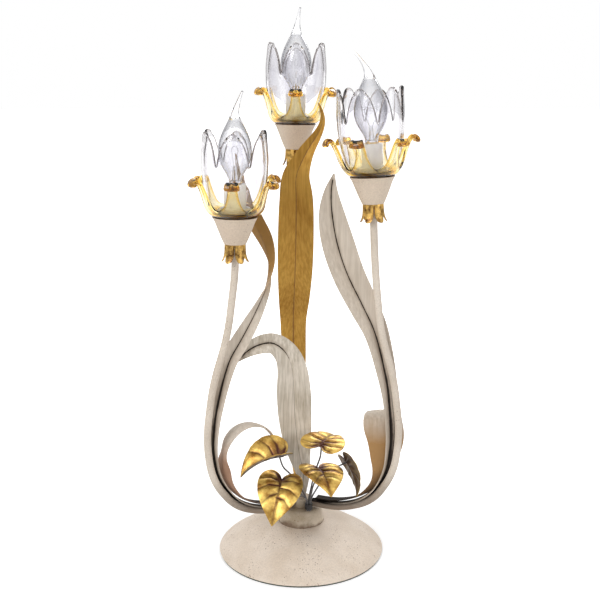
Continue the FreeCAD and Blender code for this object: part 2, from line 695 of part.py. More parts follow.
def make_leaf_left():
    """It shows its ivory side low down, then turns over and passes behind the left flower."""
    side = "left"
    lower = [
        (9, 4.0, 0, 1.0, 0.0), (30, 4.5, 4, 1.2, 0.0), (50, 5.0, 8, 1.4, 0.0), (70, 5.2, 13, 1.7, -0.2),
        (92, 5.5, 18, 1.9, -0.4), (116, 5.5, 26, 2.2, -0.8), (136, 5.5, 32, 2.5, -1.1),
        (156, 5.8, 34, 2.8, -0.9), (176, 6.6, 34, 3.6, -0.6), (210, 8.5, 34, 5.0, -0.6),
    ]
    stations = [beside_stem(side, *station) for station in lower]
    upper = [
        (-77, -52, 240, 11.0, 250), (-64, -44, 263, 10.5, 262), (-53, -38, 283, 9.0, 280),
        (-43, -34, 304, 7.5, 315), (-36, -29, 322, 7.5, 350), (-34, -23, 344, 9.0, 385),
        (-40, -15, 365, 11.0, 410), (-50, -6, 383, 11.0, 425), (-59, 3, 404, 9.0, 435),
        (-66, 9, 430, 5.0, 440), (-70, 11, 456, 0.8, 445),
    ]
    stations += [(Vector(x, y, z), w, look_at(a)) for x, y, z, w, a in upper]
    return leaf(stations)


def make_leaf_back():
    """The gilt leaf: broad and upright, then narrow and turned in an S before the back flower."""
    side = "back"
    lower = [
        (9, 4.0), (30, 4.5), (50, 5.0), (70, 6.0), (92, 7.0), (112, 8.2), (132, 9.5),
        (172, 12.5), (206, 15.5),
    ]
    offset = LEAF_SHEET + 2 * FREE_GAP
    stations = [beside_stem(side, s, w, 180, offset) for s, w in lower]
    upper = [(88, 254, 17.0), (72, 288, 20.0), (56, 328, 22.0), (46, 370, 22.0), (41, 404, 20.5)]
    stations += [(in_plane_of(side, r, z, BACK_LEAF_ASIDE), w, look_at(270)) for r, z, w in upper]
    turned = [
        (-5.5, 40, 428, 17.0, 268), (2, 40, 447, 11.5, 262), (9, 41, 460, 8.5, 258),
        (17, 42, 472, 6.0, 256), (23, 43, 484, 4.0, 254), (24, 44, 495, 2.4, 254), (19, 45, 508, 0.8, 254),
    ]
    stations += [(Vector(x, y, z), w, look_at(a)) for x, y, z, w, a in turned]
    return leaf(stations)


def make_leaf_arched():
    """The ivory leaf in front: upright from the hub, then bent over to the left."""
    stations = [
        (1, -4, HUB_TOP_Z + 2 * FREE_GAP, 3.6), (3, -8, 80, 5.0), (2, -12, 100, 9.0),
        (-2, -15, 122, 13.5), (-5, -18, 146, 17.5), (-7, -20, 172, 20.0), (-8, -22, 200, 20.5),
        (-10, -24, 226, 18.0), (-17, -28, 245, 15.0),
        (-31, -34, 257, 12.5), (-47, -40, 256, 10.5), (-60, -45, 249, 6.5), (-68, -48, 240, 0.8),
    ]
    return leaf([(Vector(x, y, z), w, look_at(270, 12)) for x, y, z, w in stations])


def make_curl_left():
    """A narrow ribbon leaf that leaves the left tube low down and rolls over to the middle."""
    side = "left"
    lower = [
        (14, 4.5, 180, 4.4, 0.0), (32, 5.0, 181, 4.6, 0.0), (50, 5.5, 182, 4.8, -0.4),
        (70, 6.0, 184, 5.2, -0.6), (92, 7.0, 186, 5.8, -0.8), (116, 8.5, 192, 7.0, -0.8),
        (134, 10.0, 200, 9.2, -0.8),
    ]
    stations = [beside_stem(side, *station) for station in lower]
    centre = in_plane_of(side, 72, 132)
    rolled = [
        (104, 140, 11.5, 0.36), (100, 153, 12.5, 0.30), (89, 163.5, 12.0, 0.20), (75, 167.5, 10.5, 0.1),
        (61, 165, 8.5, 0.0), (49, 158, 6.0, 0.0), (41, 149, 3.5, 0.0), (37, 140, 0.8, 0.0),
    ]
    front = look_at(HEADS[side][0] + 90)
    for r, z, w, turned in rolled:
        keel = in_plane_of(side, r, z)
        stations.append((keel, w, (centre - keel).normalize() + front * turned))
    return leaf(stations, CURL_FOLD)


def make_curl_right():
    """The broad leaf behind the right tube, whose end rolls over to the back."""
    side = "right"
    lower = [
        (14, 4.5, 180, 4.4, 0.0), (32, 4.8, 178, 4.6, 0.2), (50, 5.0, 174, 4.8, 0.6),
        (66, 5.5, 167, 5.0, 1.0), (80, 6.0, 158, 5.2, 2.0),
    ]
    stations = [beside_stem(side, *station) for station in lower]
    upper = [
        (89.0, 91, 4.2, 7.7, 120), (95.5, 103, 3.8, 10.0, 108), (98.7, 114, 3.2, 12.7, 100),
        (100, 125, 2.2, 15.5, 95), (101, 138, 2.0, 18.5, 92), (101, 151, 1.8, 21.0, 90),
    ]
    stations += [(in_plane_of(side, r, z, out), w, look_at(a)) for r, z, out, w, a in upper]
    centre = Vector(89, -29, 166)
    rolled = [
        (90, -39, 164, 22.0), (89.5, -37.5, 172, 21.5), (89, -32, 177.5, 19.5), (89, -26, 178, 16.0),
        (89, -20, 173, 11.0), (89, -18.5, 166, 6.0), (89.5, -19.5, 160, 0.8),
    ]
    for x, y, z, w in rolled:
        keel = Vector(x, y, z)
        stations.append((keel, w, centre - keel))
    return leaf(stations, CURL_FOLD)


# --------------------------------------------------- heart leaves and wires
# name: (end of the wire at the leaf's notch, way to the tip, way its face looks)
HEARTS = {
    "front": (Vector(-21.3, -50, 106), Vector(-10.4, -38.8, -33.5), Vector(0, -0.64, 0.74)),
    "left": (Vector(-20.9, -45.5, 132.0), Vector(-46.2, -11.6, -14.3), Vector(-0.256, -0.189, 0.948)),
    "top": (Vector(20.8, -52, 146.5), Vector(0.42, 0.9, 0.05), Vector(0.02, -0.13, 0.98)),
    "right": (Vector(19.5, -43, 117.5), Vector(14.2, -40.5, -13.2), Vector(0.218, -0.232, 0.948)),
    "far": (Vector(50.4, -22, 117), Vector(15.7, -16.6, -35.2), Vector(0.87, 0.42, 0.27)),
}
# name: (width, length, radius of the swollen lobes, slope of the valley along the midrib)
HEART_SIZES = {
    "front": (50.0, 64.0, 55.0, 14.0),
    "left": (46.0, 62.0, 80.0, 43.0),
    "top": (50.0, 50.0, 55.0, 12.0),
    "right": (50.0, 54.0, 55.0, 14.0),
    "far": (40.0, 52.0, 55.0, 12.0),
}
BUNDLE_AZIMUTH = 300.0
BUNDLE_DISTANCE = 17.5
BUNDLE_SPREAD = 2.3
BUNDLE_HEIGHT = 14.0
# Azimuth of each wire about the middle of the bundle.
BUNDLE_TURNS = {"left": 162.0, "front": 234.0, "right": 306.0, "far": 18.0, "top": 90.0}
WIRE_FROM_NOTCH = 3.0
WIRE_ARCH = 6.0
BINDING_WALL = 1.1
BINDING_HEIGHT = 6.0


def heart_half(width, length, side):
    """One lobe of the flat heart outline, on the side given as +1 or -1, as an upright prism."""
    shape = [
        (0, 0), (0.09, 0.12), (0.26, 0.18), (0.43, 0.09), (0.5, -0.12),
        (0.41, -0.40), (0.20, -0.65), (0, -0.82),
    ]
    points = [Vector(side * width * x, length * y, 0) for x, y in shape]
    face = Part.Face(Part.Wire([smooth(points), line(points[-1], points[0])]))
    face.translate(Vector(0, 0, -length))
    return face.extrude(Vector(0, 0, 2 * length))


def make_heart(name):
    """A heart leaf: two swollen lobes that meet in a valley along the midrib."""
    width, length, lobe, slope = HEART_SIZES[name]
    aside, down = lobe * math.sin(math.radians(slope)), 0.3 * length
    sunk = math.sqrt(lobe**2 - aside**2 - down**2)
    halves = []
    for side in (-1, 1):
        centre = Vector(side * aside, -down, -sunk)
        shell = Part.makeSphere(lobe, centre).cut(Part.makeSphere(lobe - HEART_SHEET, centre))
        upper = Part.makeBox(2 * length, 3 * length, length + lobe, Vector(-length, -2 * length, -sunk))
        halves.append(shell.common(heart_half(width, length, side)).common(upper))
    blade = halves[0].fuse(halves[1])
    blade.Placement = heart_placement(name)
    return blade


def heart_placement(name):
    """The leaf's own frame: origin at its notch, -Y to its tip, +Z out of its face."""
    notch, tip_way, look = HEARTS[name][:3]
    return FreeCAD.Placement(notch, FreeCAD.Rotation(Vector(0, 0, 0), -tip_way, look, "YZX"))


def bundle_point(angle, height):
    centre = polar(BUNDLE_DISTANCE, BUNDLE_AZIMUTH, height)
    return centre + polar(BUNDLE_SPREAD, angle, 0)


def make_heart_wires():
    """Five thin wires, bound together on the collar cup, one up to each heart leaf."""
    wires = []
    for name, turn in BUNDLE_TURNS.items():
        foot = bundle_point(turn, COLLAR_TOP_Z + SEAT_GAP)
        straight = bundle_point(turn, COLLAR_TOP_Z + BUNDLE_HEIGHT)
        place = heart_placement(name)
        end = place.multVec(Vector(0, -WIRE_FROM_NOTCH, -HEART_SHEET - FREE_GAP))
        under = place.multVec(Vector(0, -WIRE_FROM_NOTCH, -BUNDLE_HEIGHT))
        middle = straight + (under - straight) * 0.5 + Vector(0, 0, WIRE_ARCH)
        wires.append(round_bar(rounded_path([foot, straight, middle, under, end]), WIRE_RADIUS))
    return Part.makeCompound(wires)


def make_wire_binding():
    """The wrapped band round the foot of the five wires."""
    hole = BUNDLE_SPREAD + WIRE_RADIUS + SEAT_GAP
    low = COLLAR_TOP_Z + 2.5
    band = disc(hole + BINDING_WALL, low, low + BINDING_HEIGHT, hole)
    band.translate(polar(BUNDLE_DISTANCE, BUNDLE_AZIMUTH, 0))
    return band


def make_lead_wires():
    """The sheathed lead inside each tube, up to its lampholder."""
    leads = []
    for head in HEADS:
        corners = stem_corners(head)
        corners[0] = polar(HUB_RADIUS * STEM_SINK + 1.0, HEADS[head][0], HUB_MIDDLE_Z)
        leads.append(round_bar(rounded_path(corners), LEAD_RADIUS))
    return Part.makeCompound(leads)


# ------------------------------------------------------------- write the set
def write(name, shape):
    solids = shape.Solids
    if not solids or not shape.isValid():
        raise ValueError(f"{name} is not a sound solid")
    volume = sum(s.Volume for s in solids)
    box = shape.BoundBox
    size = (round(box.XLength, 1), round(box.YLength, 1), round(box.ZLength, 1))
    print(f"{name:16s} solids {len(solids)}  volume {volume:9.1f}  size {size}")
    shape.exportStep(f"parts/{name}.step")


def write_heads():
    per_head = {
        "cup": make_cup(), "sepals": make_sepals(), "lampholder": make_lampholder(),
        "shade_ring": make_shade_ring(), "bulb_cap": make_bulb_cap(), "bulb_stud": make_bulb_stud(),
    }
    calyx = make_calyx()
    turning = {"bulb_glass": make_bulb_glass(), "bulb_mount": make_bulb_mount()}
    for head in HEADS:
        for name, shape in per_head.items():
            write(f"{name}_{head}", place_head(shape, head))
        for name, shape in (("calyx", calyx), ("tulip", make_tulip(TULIP_HEIGHTS[head]))):
            write(f"{name}_{head}", place_head(turned_copies(shape, 1, PETAL_TURN[head] + 90.0)[0], head))
        for name, shape in turning.items():
            write(f"{name}_{head}", place_head(turned_copies(shape, 1, BULB_TIPS[head])[0], head))
    groups = {
        "nipples": make_nipple(), "lock_nuts": make_lock_nut(), "screw_shells": make_screw_shell(),
        "contact_springs": make_contact_spring(),
    }
    for name, shape in groups.items():
        write(name, Part.makeCompound([place_head(shape, head) for head in HEADS]))


os.makedirs("parts", exist_ok=True)
write("base_dome", make_base_dome())
write("base_weight", make_base_weight())
write("base_felt", make_base_felt())
write("centre_rod", make_centre_rod())
write("base_washer", make_base_washer())
write("base_nut", make_base_nut())
write("base_spacer", make_spacer())
write("collar_cup", make_collar_cup())
write("hub", make_hub())
for head_name in HEADS:
    write(f"stem_{head_name}", make_stem(head_name))
write("lead_wires", make_lead_wires())
write_heads()
write("leaf_right", make_leaf_right())
write("leaf_left", make_leaf_left())
write("leaf_back", make_leaf_back())
write("leaf_arched", make_leaf_arched())
write("curl_left", make_curl_left())
write("curl_right", make_curl_right())
for heart_name in HEARTS:
    write(f"heart_{heart_name}", make_heart(heart_name))
write("heart_wires", make_heart_wires())
write("wire_binding", make_wire_binding())
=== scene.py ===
# %% [markdown]
# # A tulip lamp in painted metal and blown glass
# The metal skeleton comes from the frame. This file gives each surface its finish, and remakes
# the pieces whose look depends on fine form: glass petals, leaves, hearts and screw threads.

# %% Load the frame
import json
import math

import bmesh
import bpy
from mathutils import Matrix, Vector
from mathutils.bvhtree import BVHTree


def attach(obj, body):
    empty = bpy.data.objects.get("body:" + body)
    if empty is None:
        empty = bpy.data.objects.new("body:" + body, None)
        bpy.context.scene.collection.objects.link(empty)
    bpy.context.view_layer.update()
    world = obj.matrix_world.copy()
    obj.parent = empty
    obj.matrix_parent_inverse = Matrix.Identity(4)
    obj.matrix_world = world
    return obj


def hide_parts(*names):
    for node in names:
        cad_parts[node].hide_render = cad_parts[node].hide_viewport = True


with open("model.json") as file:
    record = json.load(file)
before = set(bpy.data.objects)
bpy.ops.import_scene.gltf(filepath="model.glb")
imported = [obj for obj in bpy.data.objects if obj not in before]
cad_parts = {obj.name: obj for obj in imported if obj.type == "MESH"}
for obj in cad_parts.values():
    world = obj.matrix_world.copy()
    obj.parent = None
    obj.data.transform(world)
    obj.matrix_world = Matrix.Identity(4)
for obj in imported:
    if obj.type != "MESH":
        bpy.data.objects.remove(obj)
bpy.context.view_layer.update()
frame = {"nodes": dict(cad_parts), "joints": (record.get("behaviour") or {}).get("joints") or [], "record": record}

MM = 0.001
CORNERS = ("left", "right", "back")

# %% [markdown]
# ## Camera
# The lamp was seen a little from above, with its base in full view. A long lens keeps the three
# flower heads close to one size.

# %% Camera
camera_data = bpy.data.cameras.new("camera")
camera_data.sensor_width = 36
camera_data.lens = 57.6
camera = bpy.data.objects.new("camera", camera_data)
camera.location = (-0.0012, -1.030, 0.541)
camera.rotation_euler = (math.radians(76.65), 0, 0)
bpy.context.scene.collection.objects.link(camera)
bpy.context.scene.camera = camera

# %% [markdown]
# ## Helpers for modelling by hand
# Operators act on what is selected, so every step starts by selecting one piece alone.


# %% Selection helpers
def only(piece):
    """Selects one piece and nothing else."""
    if bpy.context.object and bpy.context.object.mode != "OBJECT":
        bpy.ops.object.mode_set(mode="OBJECT")
    bpy.ops.object.select_all(action="DESELECT")
    piece.select_set(True)
    bpy.context.view_layer.objects.active = piece


def welded_copy(node, name):
    """A copy of a frame piece whose loose triangles are joined into one skin."""
    piece = bpy.data.objects.new(name, frame["nodes"][node].data.copy())
    bpy.context.scene.collection.objects.link(piece)
    only(piece)
    bpy.ops.mesh.customdata_custom_splitnormals_clear()
    bpy.ops.object.mode_set(mode="EDIT")
    bpy.ops.mesh.select_all(action="SELECT")
    bpy.ops.mesh.remove_doubles(threshold=0.004 * MM)
    bpy.ops.object.mode_set(mode="OBJECT")
    return piece


def apply_modifier(piece, kind, **settings):
    """Adds one modifier, sets it and applies it."""
    only(piece)
    modifier = piece.modifiers.new(kind.title(), kind)
    for key, value in settings.items():
        setattr(modifier, key, value)
    bpy.ops.object.modifier_apply(modifier=modifier.name)


def finish_piece(piece, body, slot, material, *nodes, angle=30.0):
    """Smooths the shading, gives the material and seats the piece on its body."""
    only(piece)
    bpy.ops.object.shade_smooth_by_angle(angle=math.radians(angle))
    piece.data.materials.clear()
    piece.data.materials.append(material)
    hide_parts(*nodes)
    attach(piece, body)
    print(piece.name, len(piece.data.polygons), "faces")


# %% [markdown]
# ## Materials
# All finishes are built from noise and colour ramps on the lamp's own coordinates, so they stay
# put on the metal. The helpers below keep each finish to a few lines.


# %% Node helpers
class Finish:
    """A new material with short ways to add the nodes that a finish needs."""

    def __init__(self, name):
        self.material = bpy.data.materials.new(name)
        self.material.use_nodes = True
        self.nodes = self.material.node_tree.nodes
        self.links = self.material.node_tree.links
        self.shader = self.nodes["Principled BSDF"]
        self.place = self.nodes.new("ShaderNodeTexCoord").outputs["Object"]

    def set(self, **values):
        for key, value in values.items():
            self.shader.inputs[key.replace("_", " ")].default_value = value

    def link(self, source, target):
        self.links.new(source, self.shader.inputs[target] if isinstance(target, str) else target)

    def stretched(self, scale):
        node = self.nodes.new("ShaderNodeMapping")
        node.inputs["Scale"].default_value = scale
        self.links.new(self.place, node.inputs["Vector"])
        return node.outputs["Vector"]

    def noise(self, scale, detail=4.0, rough=0.55, stretch=None):
        node = self.nodes.new("ShaderNodeTexNoise")
        node.inputs["Scale"].default_value = scale
        node.inputs["Detail"].default_value = detail
        node.inputs["Roughness"].default_value = rough
        self.links.new(self.stretched(stretch) if stretch else self.place, node.inputs["Vector"])
        return node.outputs["Fac"]

    def spots(self, scale, stretch=None):
        node = self.nodes.new("ShaderNodeTexVoronoi")
        node.inputs["Scale"].default_value = scale
        self.links.new(self.stretched(stretch) if stretch else self.place, node.inputs["Vector"])
        return node.outputs["Distance"]

    def ramp(self, source, *stops):
        """A colour ramp from (position, colour or grey) stops."""
        node = self.nodes.new("ShaderNodeValToRGB")
        elements = node.color_ramp.elements
        while len(elements) < len(stops):
            elements.new(0.5)
        for element, (position, colour) in zip(elements, stops):
            element.position = position
            element.color = (colour, colour, colour, 1) if isinstance(colour, (int, float)) else (*colour, 1)
        self.links.new(source, node.inputs["Fac"])
        return node.outputs["Color"]

    def mix(self, factor, a, b, kind="MIX"):
        node = self.nodes.new("ShaderNodeMix")
        node.data_type = "RGBA"
        node.blend_type = kind
        for value, socket in ((factor, 0), (a, 6), (b, 7)):
            if isinstance(value, bpy.types.NodeSocket):
                self.links.new(value, node.inputs[socket])
            elif isinstance(value, (int, float)):
                node.inputs[socket].default_value = value
            else:
                node.inputs[socket].default_value = (*value, 1)
        return node.outputs[2]

    def math(self, kind, a, b=0.0, clamp=False):
        node = self.nodes.new("ShaderNodeMath")
        node.operation = kind
        node.use_clamp = clamp
        for value, socket in ((a, 0), (b, 1)):
            if isinstance(value, bpy.types.NodeSocket):
                self.links.new(value, node.inputs[socket])
            else:
                node.inputs[socket].default_value = value
        return node.outputs[0]

    def height(self):
        """The height over the table, in metres."""
        node = self.nodes.new("ShaderNodeSeparateXYZ")
        self.links.new(self.place, node.inputs[0])
        return node.outputs["Z"]

    def span(self, source, low, high, a=0.0, b=1.0):
        node = self.nodes.new("ShaderNodeMapRange")
        for key, value in (("From Min", low), ("From Max", high), ("To Min", a), ("To Max", b)):
            node.inputs[key].default_value = value
        self.links.new(source, node.inputs["Value"])
        return node.outputs["Result"]

    def edge_on(self, blend):
        """0 where the surface faces the eye and 1 where it turns away."""
        node = self.nodes.new("ShaderNodeLayerWeight")
        node.inputs["Blend"].default_value = blend
        return node.outputs["Facing"]

    def attribute(self, name):
        node = self.nodes.new("ShaderNodeAttribute")
        node.attribute_name = name
        return node.outputs["Fac"]

    def bump(self, source, depth_mm, strength=1.0):
        node = self.nodes.new("ShaderNodeBump")
        node.inputs["Strength"].default_value = strength
        node.inputs["Distance"].default_value = depth_mm * MM
        self.links.new(source, node.inputs["Height"])
        self.link(node.outputs["Normal"], "Normal")


# %% [markdown]
# ### Cream paint
# The base, cups and tubes are sprayed in a warm cream that is rubbed and flecked with brown.
# Two noises carry the cloudy tone, and small sharp spots carry the flecks. Brown that darkens the low parts is a
# band: a colour that fades in between two heights. On the tubes near the hub it is painted shade, where tubes and
# leaves crowd together.


# %% Cream paint
def add_bands(finish, tone, cloud, bands):
    """Colours that fade in between two heights, ragged where the cloud noise is."""
    for start, full, colour, strength in bands:
        ragged = finish.math("ADD", finish.height(), finish.span(cloud, 0.3, 0.7, -0.006, 0.006))
        share = finish.math("MULTIPLY", finish.span(ragged, start, full), strength)
        tone = finish.mix(share, tone, colour)
    return tone


def cream_paint(name, light, dark, fleck=0.7, bands=()):
    finish = Finish(name)
    cloud = finish.noise(28.0, 5.0)
    tone = finish.mix(finish.ramp(cloud, (0.35, 0.0), (0.65, 1.0)), dark, light)
    grain = finish.ramp(finish.noise(620.0, 2.0), (0.42, 0.86), (0.6, 1.0))
    tone = finish.mix(0.6, tone, grain, "MULTIPLY")
    tone = add_bands(finish, tone, cloud, bands)
    where = finish.ramp(finish.noise(45.0, 3.0), (0.44, 0.0), (0.60, 1.0))
    for size in (300.0, 700.0):
        spot = finish.ramp(finish.spots(size), (0.10, 1.0), (0.22, 0.0))
        spot = finish.math("MULTIPLY", finish.math("MULTIPLY", spot, where), fleck)
        tone = finish.mix(spot, tone, (0.20, 0.10, 0.05))
    finish.link(tone, "Base Color")
    finish.link(finish.span(cloud, 0.3, 0.7, 0.48, 0.62), "Roughness")
    finish.bump(finish.noise(900.0, 3.0), 0.06, 0.5)
    return finish.material


BROWN = (0.16, 0.10, 0.06)
# The base's cream is lighter than that of the cups and tubes: painted light on its upward face.
base_cream_painted_lit = cream_paint("cream paint", (0.86, 0.745, 0.63), (0.75, 0.625, 0.50), 0.9)
collar_cream = cream_paint(
    "rubbed cream paint", (0.80, 0.69, 0.56), (0.44, 0.35, 0.24), 0.9, [(0.0395, 0.0352, BROWN, 0.85)],
)
# The cups' cream is darker than the base's: painted shade.
cup_cream_painted_shade = cream_paint("cup cream paint", (0.72, 0.60, 0.475), (0.66, 0.53, 0.41), 0.5)
# The brown band low on the tubes is painted shade near the hub.
stem_cream = cream_paint(
    "tube cream paint", (0.75, 0.66, 0.56), (0.64, 0.55, 0.45), 0.6, [(0.112, 0.066, BROWN, 0.75)],
)

# %% [markdown]
# ### Ivory leaf paint with a dark crease
# The painted leaves turn near-black in the crease and where leaf and tube meet, with a brown halo round the
# crease: partly a stain that stayed there, and partly painted shade in the deep fold and in the gap against the
# tube. Each leaf carries two distances in millimetres, from its crease and from the tube, and the dark colour
# follows them.

# %% Leaf paints
# Near-black for the crease, the tube side and the low parts near the hub: partly stain and partly painted shade.
STAIN_AND_SHADE = (0.012, 0.008, 0.006)
HALO_BROWN_AND_SHADE = (0.23, 0.15, 0.09)
HALO_WIDTHS = 3.5
TUBE_DARK_FROM = 3.4
TUBE_DARK_FULL = 2.2
TUBE_DARK_HEIGHTS = (0.235, 0.17)


def leaf_paint(name, light, dark, crease_mm, bands=(), metal=0.0, stain=STAIN_AND_SHADE, widens=(0.13, 0.28)):
    """Paint wiped along the leaf. The width of the dark crease, stain with painted shade, goes from the first to
    the second number of crease_mm as the height goes from the first to the second number of widens."""
    finish = Finish(name)
    streak = finish.noise(1.0, 4.0, 0.6, stretch=(420.0, 420.0, 14.0))
    cloud = finish.noise(22.0, 4.0)
    both = finish.math("ADD", finish.math("MULTIPLY", streak, 0.6), finish.math("MULTIPLY", cloud, 0.4))
    tone = finish.mix(finish.ramp(both, (0.36, 0.0), (0.62, 1.0)), dark, light)
    tone = add_bands(finish, tone, cloud, bands)
    away = finish.attribute("crease_way")
    width = finish.span(finish.height(), *widens, *crease_mm)
    width = finish.math("MULTIPLY", width, finish.span(finish.noise(60.0, 3.0), 0.3, 0.7, 0.75, 1.25))
    near = finish.math("SUBTRACT", 1.0, finish.math("DIVIDE", away, width), clamp=True)
    halo_width = finish.math("MULTIPLY", width, HALO_WIDTHS)
    halo = finish.math("SUBTRACT", 1.0, finish.math("DIVIDE", away, halo_width), clamp=True)
    # The brown halo round the crease is partly stain and partly painted shade on the sides of the fold.
    tone = finish.mix(finish.math("MULTIPLY", halo, 0.55), tone, HALO_BROWN_AND_SHADE)
    # Near the tube and low down the leaf turns near-black: painted shade in the gap between leaf and tube, with
    # some stain.
    by_tube = finish.span(finish.attribute("tube_way"), TUBE_DARK_FROM, TUBE_DARK_FULL)
    by_tube = finish.math("MULTIPLY", by_tube, finish.span(finish.height(), *TUBE_DARK_HEIGHTS))
    dark_part = finish.math("MAXIMUM", finish.ramp(near, (0.0, 0.0), (0.35, 0.9), (1.0, 1.0)), by_tube)
    # The crease and the tube side take the dark colour: stain with painted shade.
    tone = finish.mix(dark_part, tone, stain)
    finish.link(tone, "Base Color")
    finish.set(Metallic=metal, Specular_IOR_Level=0.12)
    finish.link(finish.span(both, 0.3, 0.7, 0.5, 0.7), "Roughness")
    finish.bump(streak, 0.08, 0.6)
    return finish.material


# %% One paint for each leaf
IVORY = (0.70, 0.62, 0.53)
WORN_IVORY = (0.53, 0.455, 0.37)
GOLDEN_BROWN = (0.40, 0.22, 0.08)
RED_BROWN = (0.37, 0.19, 0.11)
OLD_GOLD = (0.38, 0.20, 0.05)
NO_CREASE_DARK = (0.01, 0.01)
LEAF_PAINT = {
    "leaf_right": leaf_paint("ivory stained and shaded in the crease", IVORY, WORN_IVORY, (2.8, 0.9)),
    "leaf_left": leaf_paint(
        "ivory turning gold", IVORY, WORN_IVORY, (2.6, 0.6), [(0.305, 0.335, OLD_GOLD, 0.95)],
    ),
    "leaf_arched": leaf_paint(
        "worn ivory", (0.74, 0.67, 0.58), (0.40, 0.34, 0.255), (0.12, 1.1), widens=(0.236, 0.25),
    ),
    # Low on the curls the colour turns brown and then near-black. The golden brown on the right curl and the red
    # brown on the left are partly their paint and partly painted shade on the hollow faces. The brown and
    # near-black bands by the hub are painted shade among the crowded parts.
    "curl_left": leaf_paint(
        "ivory over red brown", IVORY, WORN_IVORY, NO_CREASE_DARK,
        [(0.162, 0.132, RED_BROWN, 0.85), (0.088, 0.070, STAIN_AND_SHADE, 0.95)],
    ),
    "curl_right": leaf_paint(
        "ivory over golden brown", IVORY, WORN_IVORY, NO_CREASE_DARK,
        [(0.176, 0.142, GOLDEN_BROWN, 0.95), (0.112, 0.090, BROWN, 0.8), (0.086, 0.070, STAIN_AND_SHADE, 0.95)],
    ),
    # The gold leaf's crease is brown: stain with painted shade.
    "leaf_back": leaf_paint(
        "brushed old gold", (0.62, 0.37, 0.085), (0.36, 0.18, 0.03), (0.9, 0.3),
        metal=0.45, stain=(0.20, 0.09, 0.02),
    ),
}


# %% [markdown]
# ### Gold
# The hearts and sepals are gilded and then rubbed with a dark patina that stays in the hollows.
# The hearts know their veins and their underside by two attributes: the patina follows the veins, and painted
# shade darkens the underside.


# %% Gold
def heart_gold():
    """Gold over embossed veins that hold a dark red-brown patina, and a dark underside that is painted shade."""
    finish = Finish("veined gold")
    cloud = finish.noise(90.0, 5.0, 0.6)
    tone = finish.mix(finish.ramp(cloud, (0.38, 0.0), (0.60, 1.0)), (0.42, 0.21, 0.04), (0.92, 0.64, 0.17))
    vein = finish.attribute("vein")
    vein = finish.math("MULTIPLY", vein, finish.span(cloud, 0.3, 0.7, 1.25, 0.75), clamp=True)
    tone = finish.mix(vein, tone, (0.075, 0.022, 0.012))
    # The underside is painted dark as shade.
    tone = finish.mix(finish.math("MULTIPLY", finish.attribute("under"), 0.85), tone, (0.075, 0.045, 0.03))
    finish.link(tone, "Base Color")
    finish.set(Metallic=0.7)
    finish.link(finish.span(cloud, 0.3, 0.7, 0.26, 0.42), "Roughness")
    finish.bump(finish.noise(260.0, 4.0), 0.15, 0.6)
    return finish.material


def plain_gold():
    finish = Finish("sepal gold")
    cloud = finish.noise(160.0, 5.0, 0.6)
    tone = finish.mix(finish.ramp(cloud, (0.36, 0.0), (0.60, 1.0)), (0.14, 0.06, 0.012), (0.74, 0.46, 0.12))
    finish.link(tone, "Base Color")
    finish.set(Metallic=0.7)
    finish.link(finish.span(cloud, 0.3, 0.7, 0.25, 0.42), "Roughness")
    finish.bump(cloud, 0.12, 0.5)
    return finish.material


# %% [markdown]
# ### Blown glass
# Clear glass shows by its dark edges, so it darkens where it is seen edge on and in its thick rims: painted dark
# reflections, and partly the thicker glass. The amber's colour deepens where the glass gathers.

# %% Glass
GLASS_IOR = 1.47


def blown_glass(name, colour, cord, reflection_and_thickness_dark, waviness=0.35, edge=(0.35, 0.95)):
    """Clear glass with the cords and faint waves of hand blowing. It darkens where it is seen edge on, and at a
    petal's rim, which the attribute rim marks: painted dark reflections, and partly the thicker glass."""
    finish = Finish(name)
    cords = finish.noise(90.0, 3.0, 0.6, stretch=(1.0, 1.0, 0.22))
    cords = finish.ramp(cords, (0.42, 0.0), (0.66, 1.0))
    # Edge on and at the rims the glass darkens: painted dark reflections, and partly the thicker glass.
    turned = finish.ramp(finish.edge_on(0.45), (edge[0], 0.0), (edge[1], 1.0))
    rim = finish.ramp(finish.attribute("rim"), (0.15, 0.0), (0.7, 1.0))
    shade = finish.math("MAXIMUM", finish.math("MULTIPLY", turned, 0.9), rim)
    finish.link(finish.mix(shade, finish.mix(cords, colour, cord), reflection_and_thickness_dark), "Base Color")
    finish.set(Roughness=0.0, IOR=GLASS_IOR, Transmission_Weight=1.0)
    finish.bump(finish.noise(34.0, 2.0, stretch=(1, 1, 0.4)), waviness, 0.5)
    return finish.material


AMBER_DEPTHS = (
    (0.0, (0.97, 0.89, 0.60)), (0.4, (0.92, 0.66, 0.14)),
    (0.8, (0.70, 0.38, 0.03)), (1.0, (0.22, 0.09, 0.015)),
)


def amber_glass():
    """Amber that gathers along the rims, in the thick rolled tips and in the foot."""
    finish = Finish("amber glass")
    depth = finish.attribute("depth")
    cloud = finish.noise(70.0, 3.0)
    depth = finish.math("ADD", depth, finish.span(cloud, 0.3, 0.7, -0.14, 0.14), clamp=True)
    tone = finish.ramp(depth, *AMBER_DEPTHS)
    turned = finish.ramp(finish.edge_on(0.45), (0.30, 0.0), (0.9, 1.0))
    finish.link(finish.mix(turned, tone, (0.42, 0.22, 0.02)), "Base Color")
    finish.set(Roughness=0.0, IOR=GLASS_IOR, Transmission_Weight=1.0)
    finish.bump(finish.noise(60.0, 2.0), 0.4, 0.6)
    return finish.material


# %% [markdown]
# ### Metal, plastic and felt
# The small working parts need only a faintly cloudy tone and a roughness that varies a little.


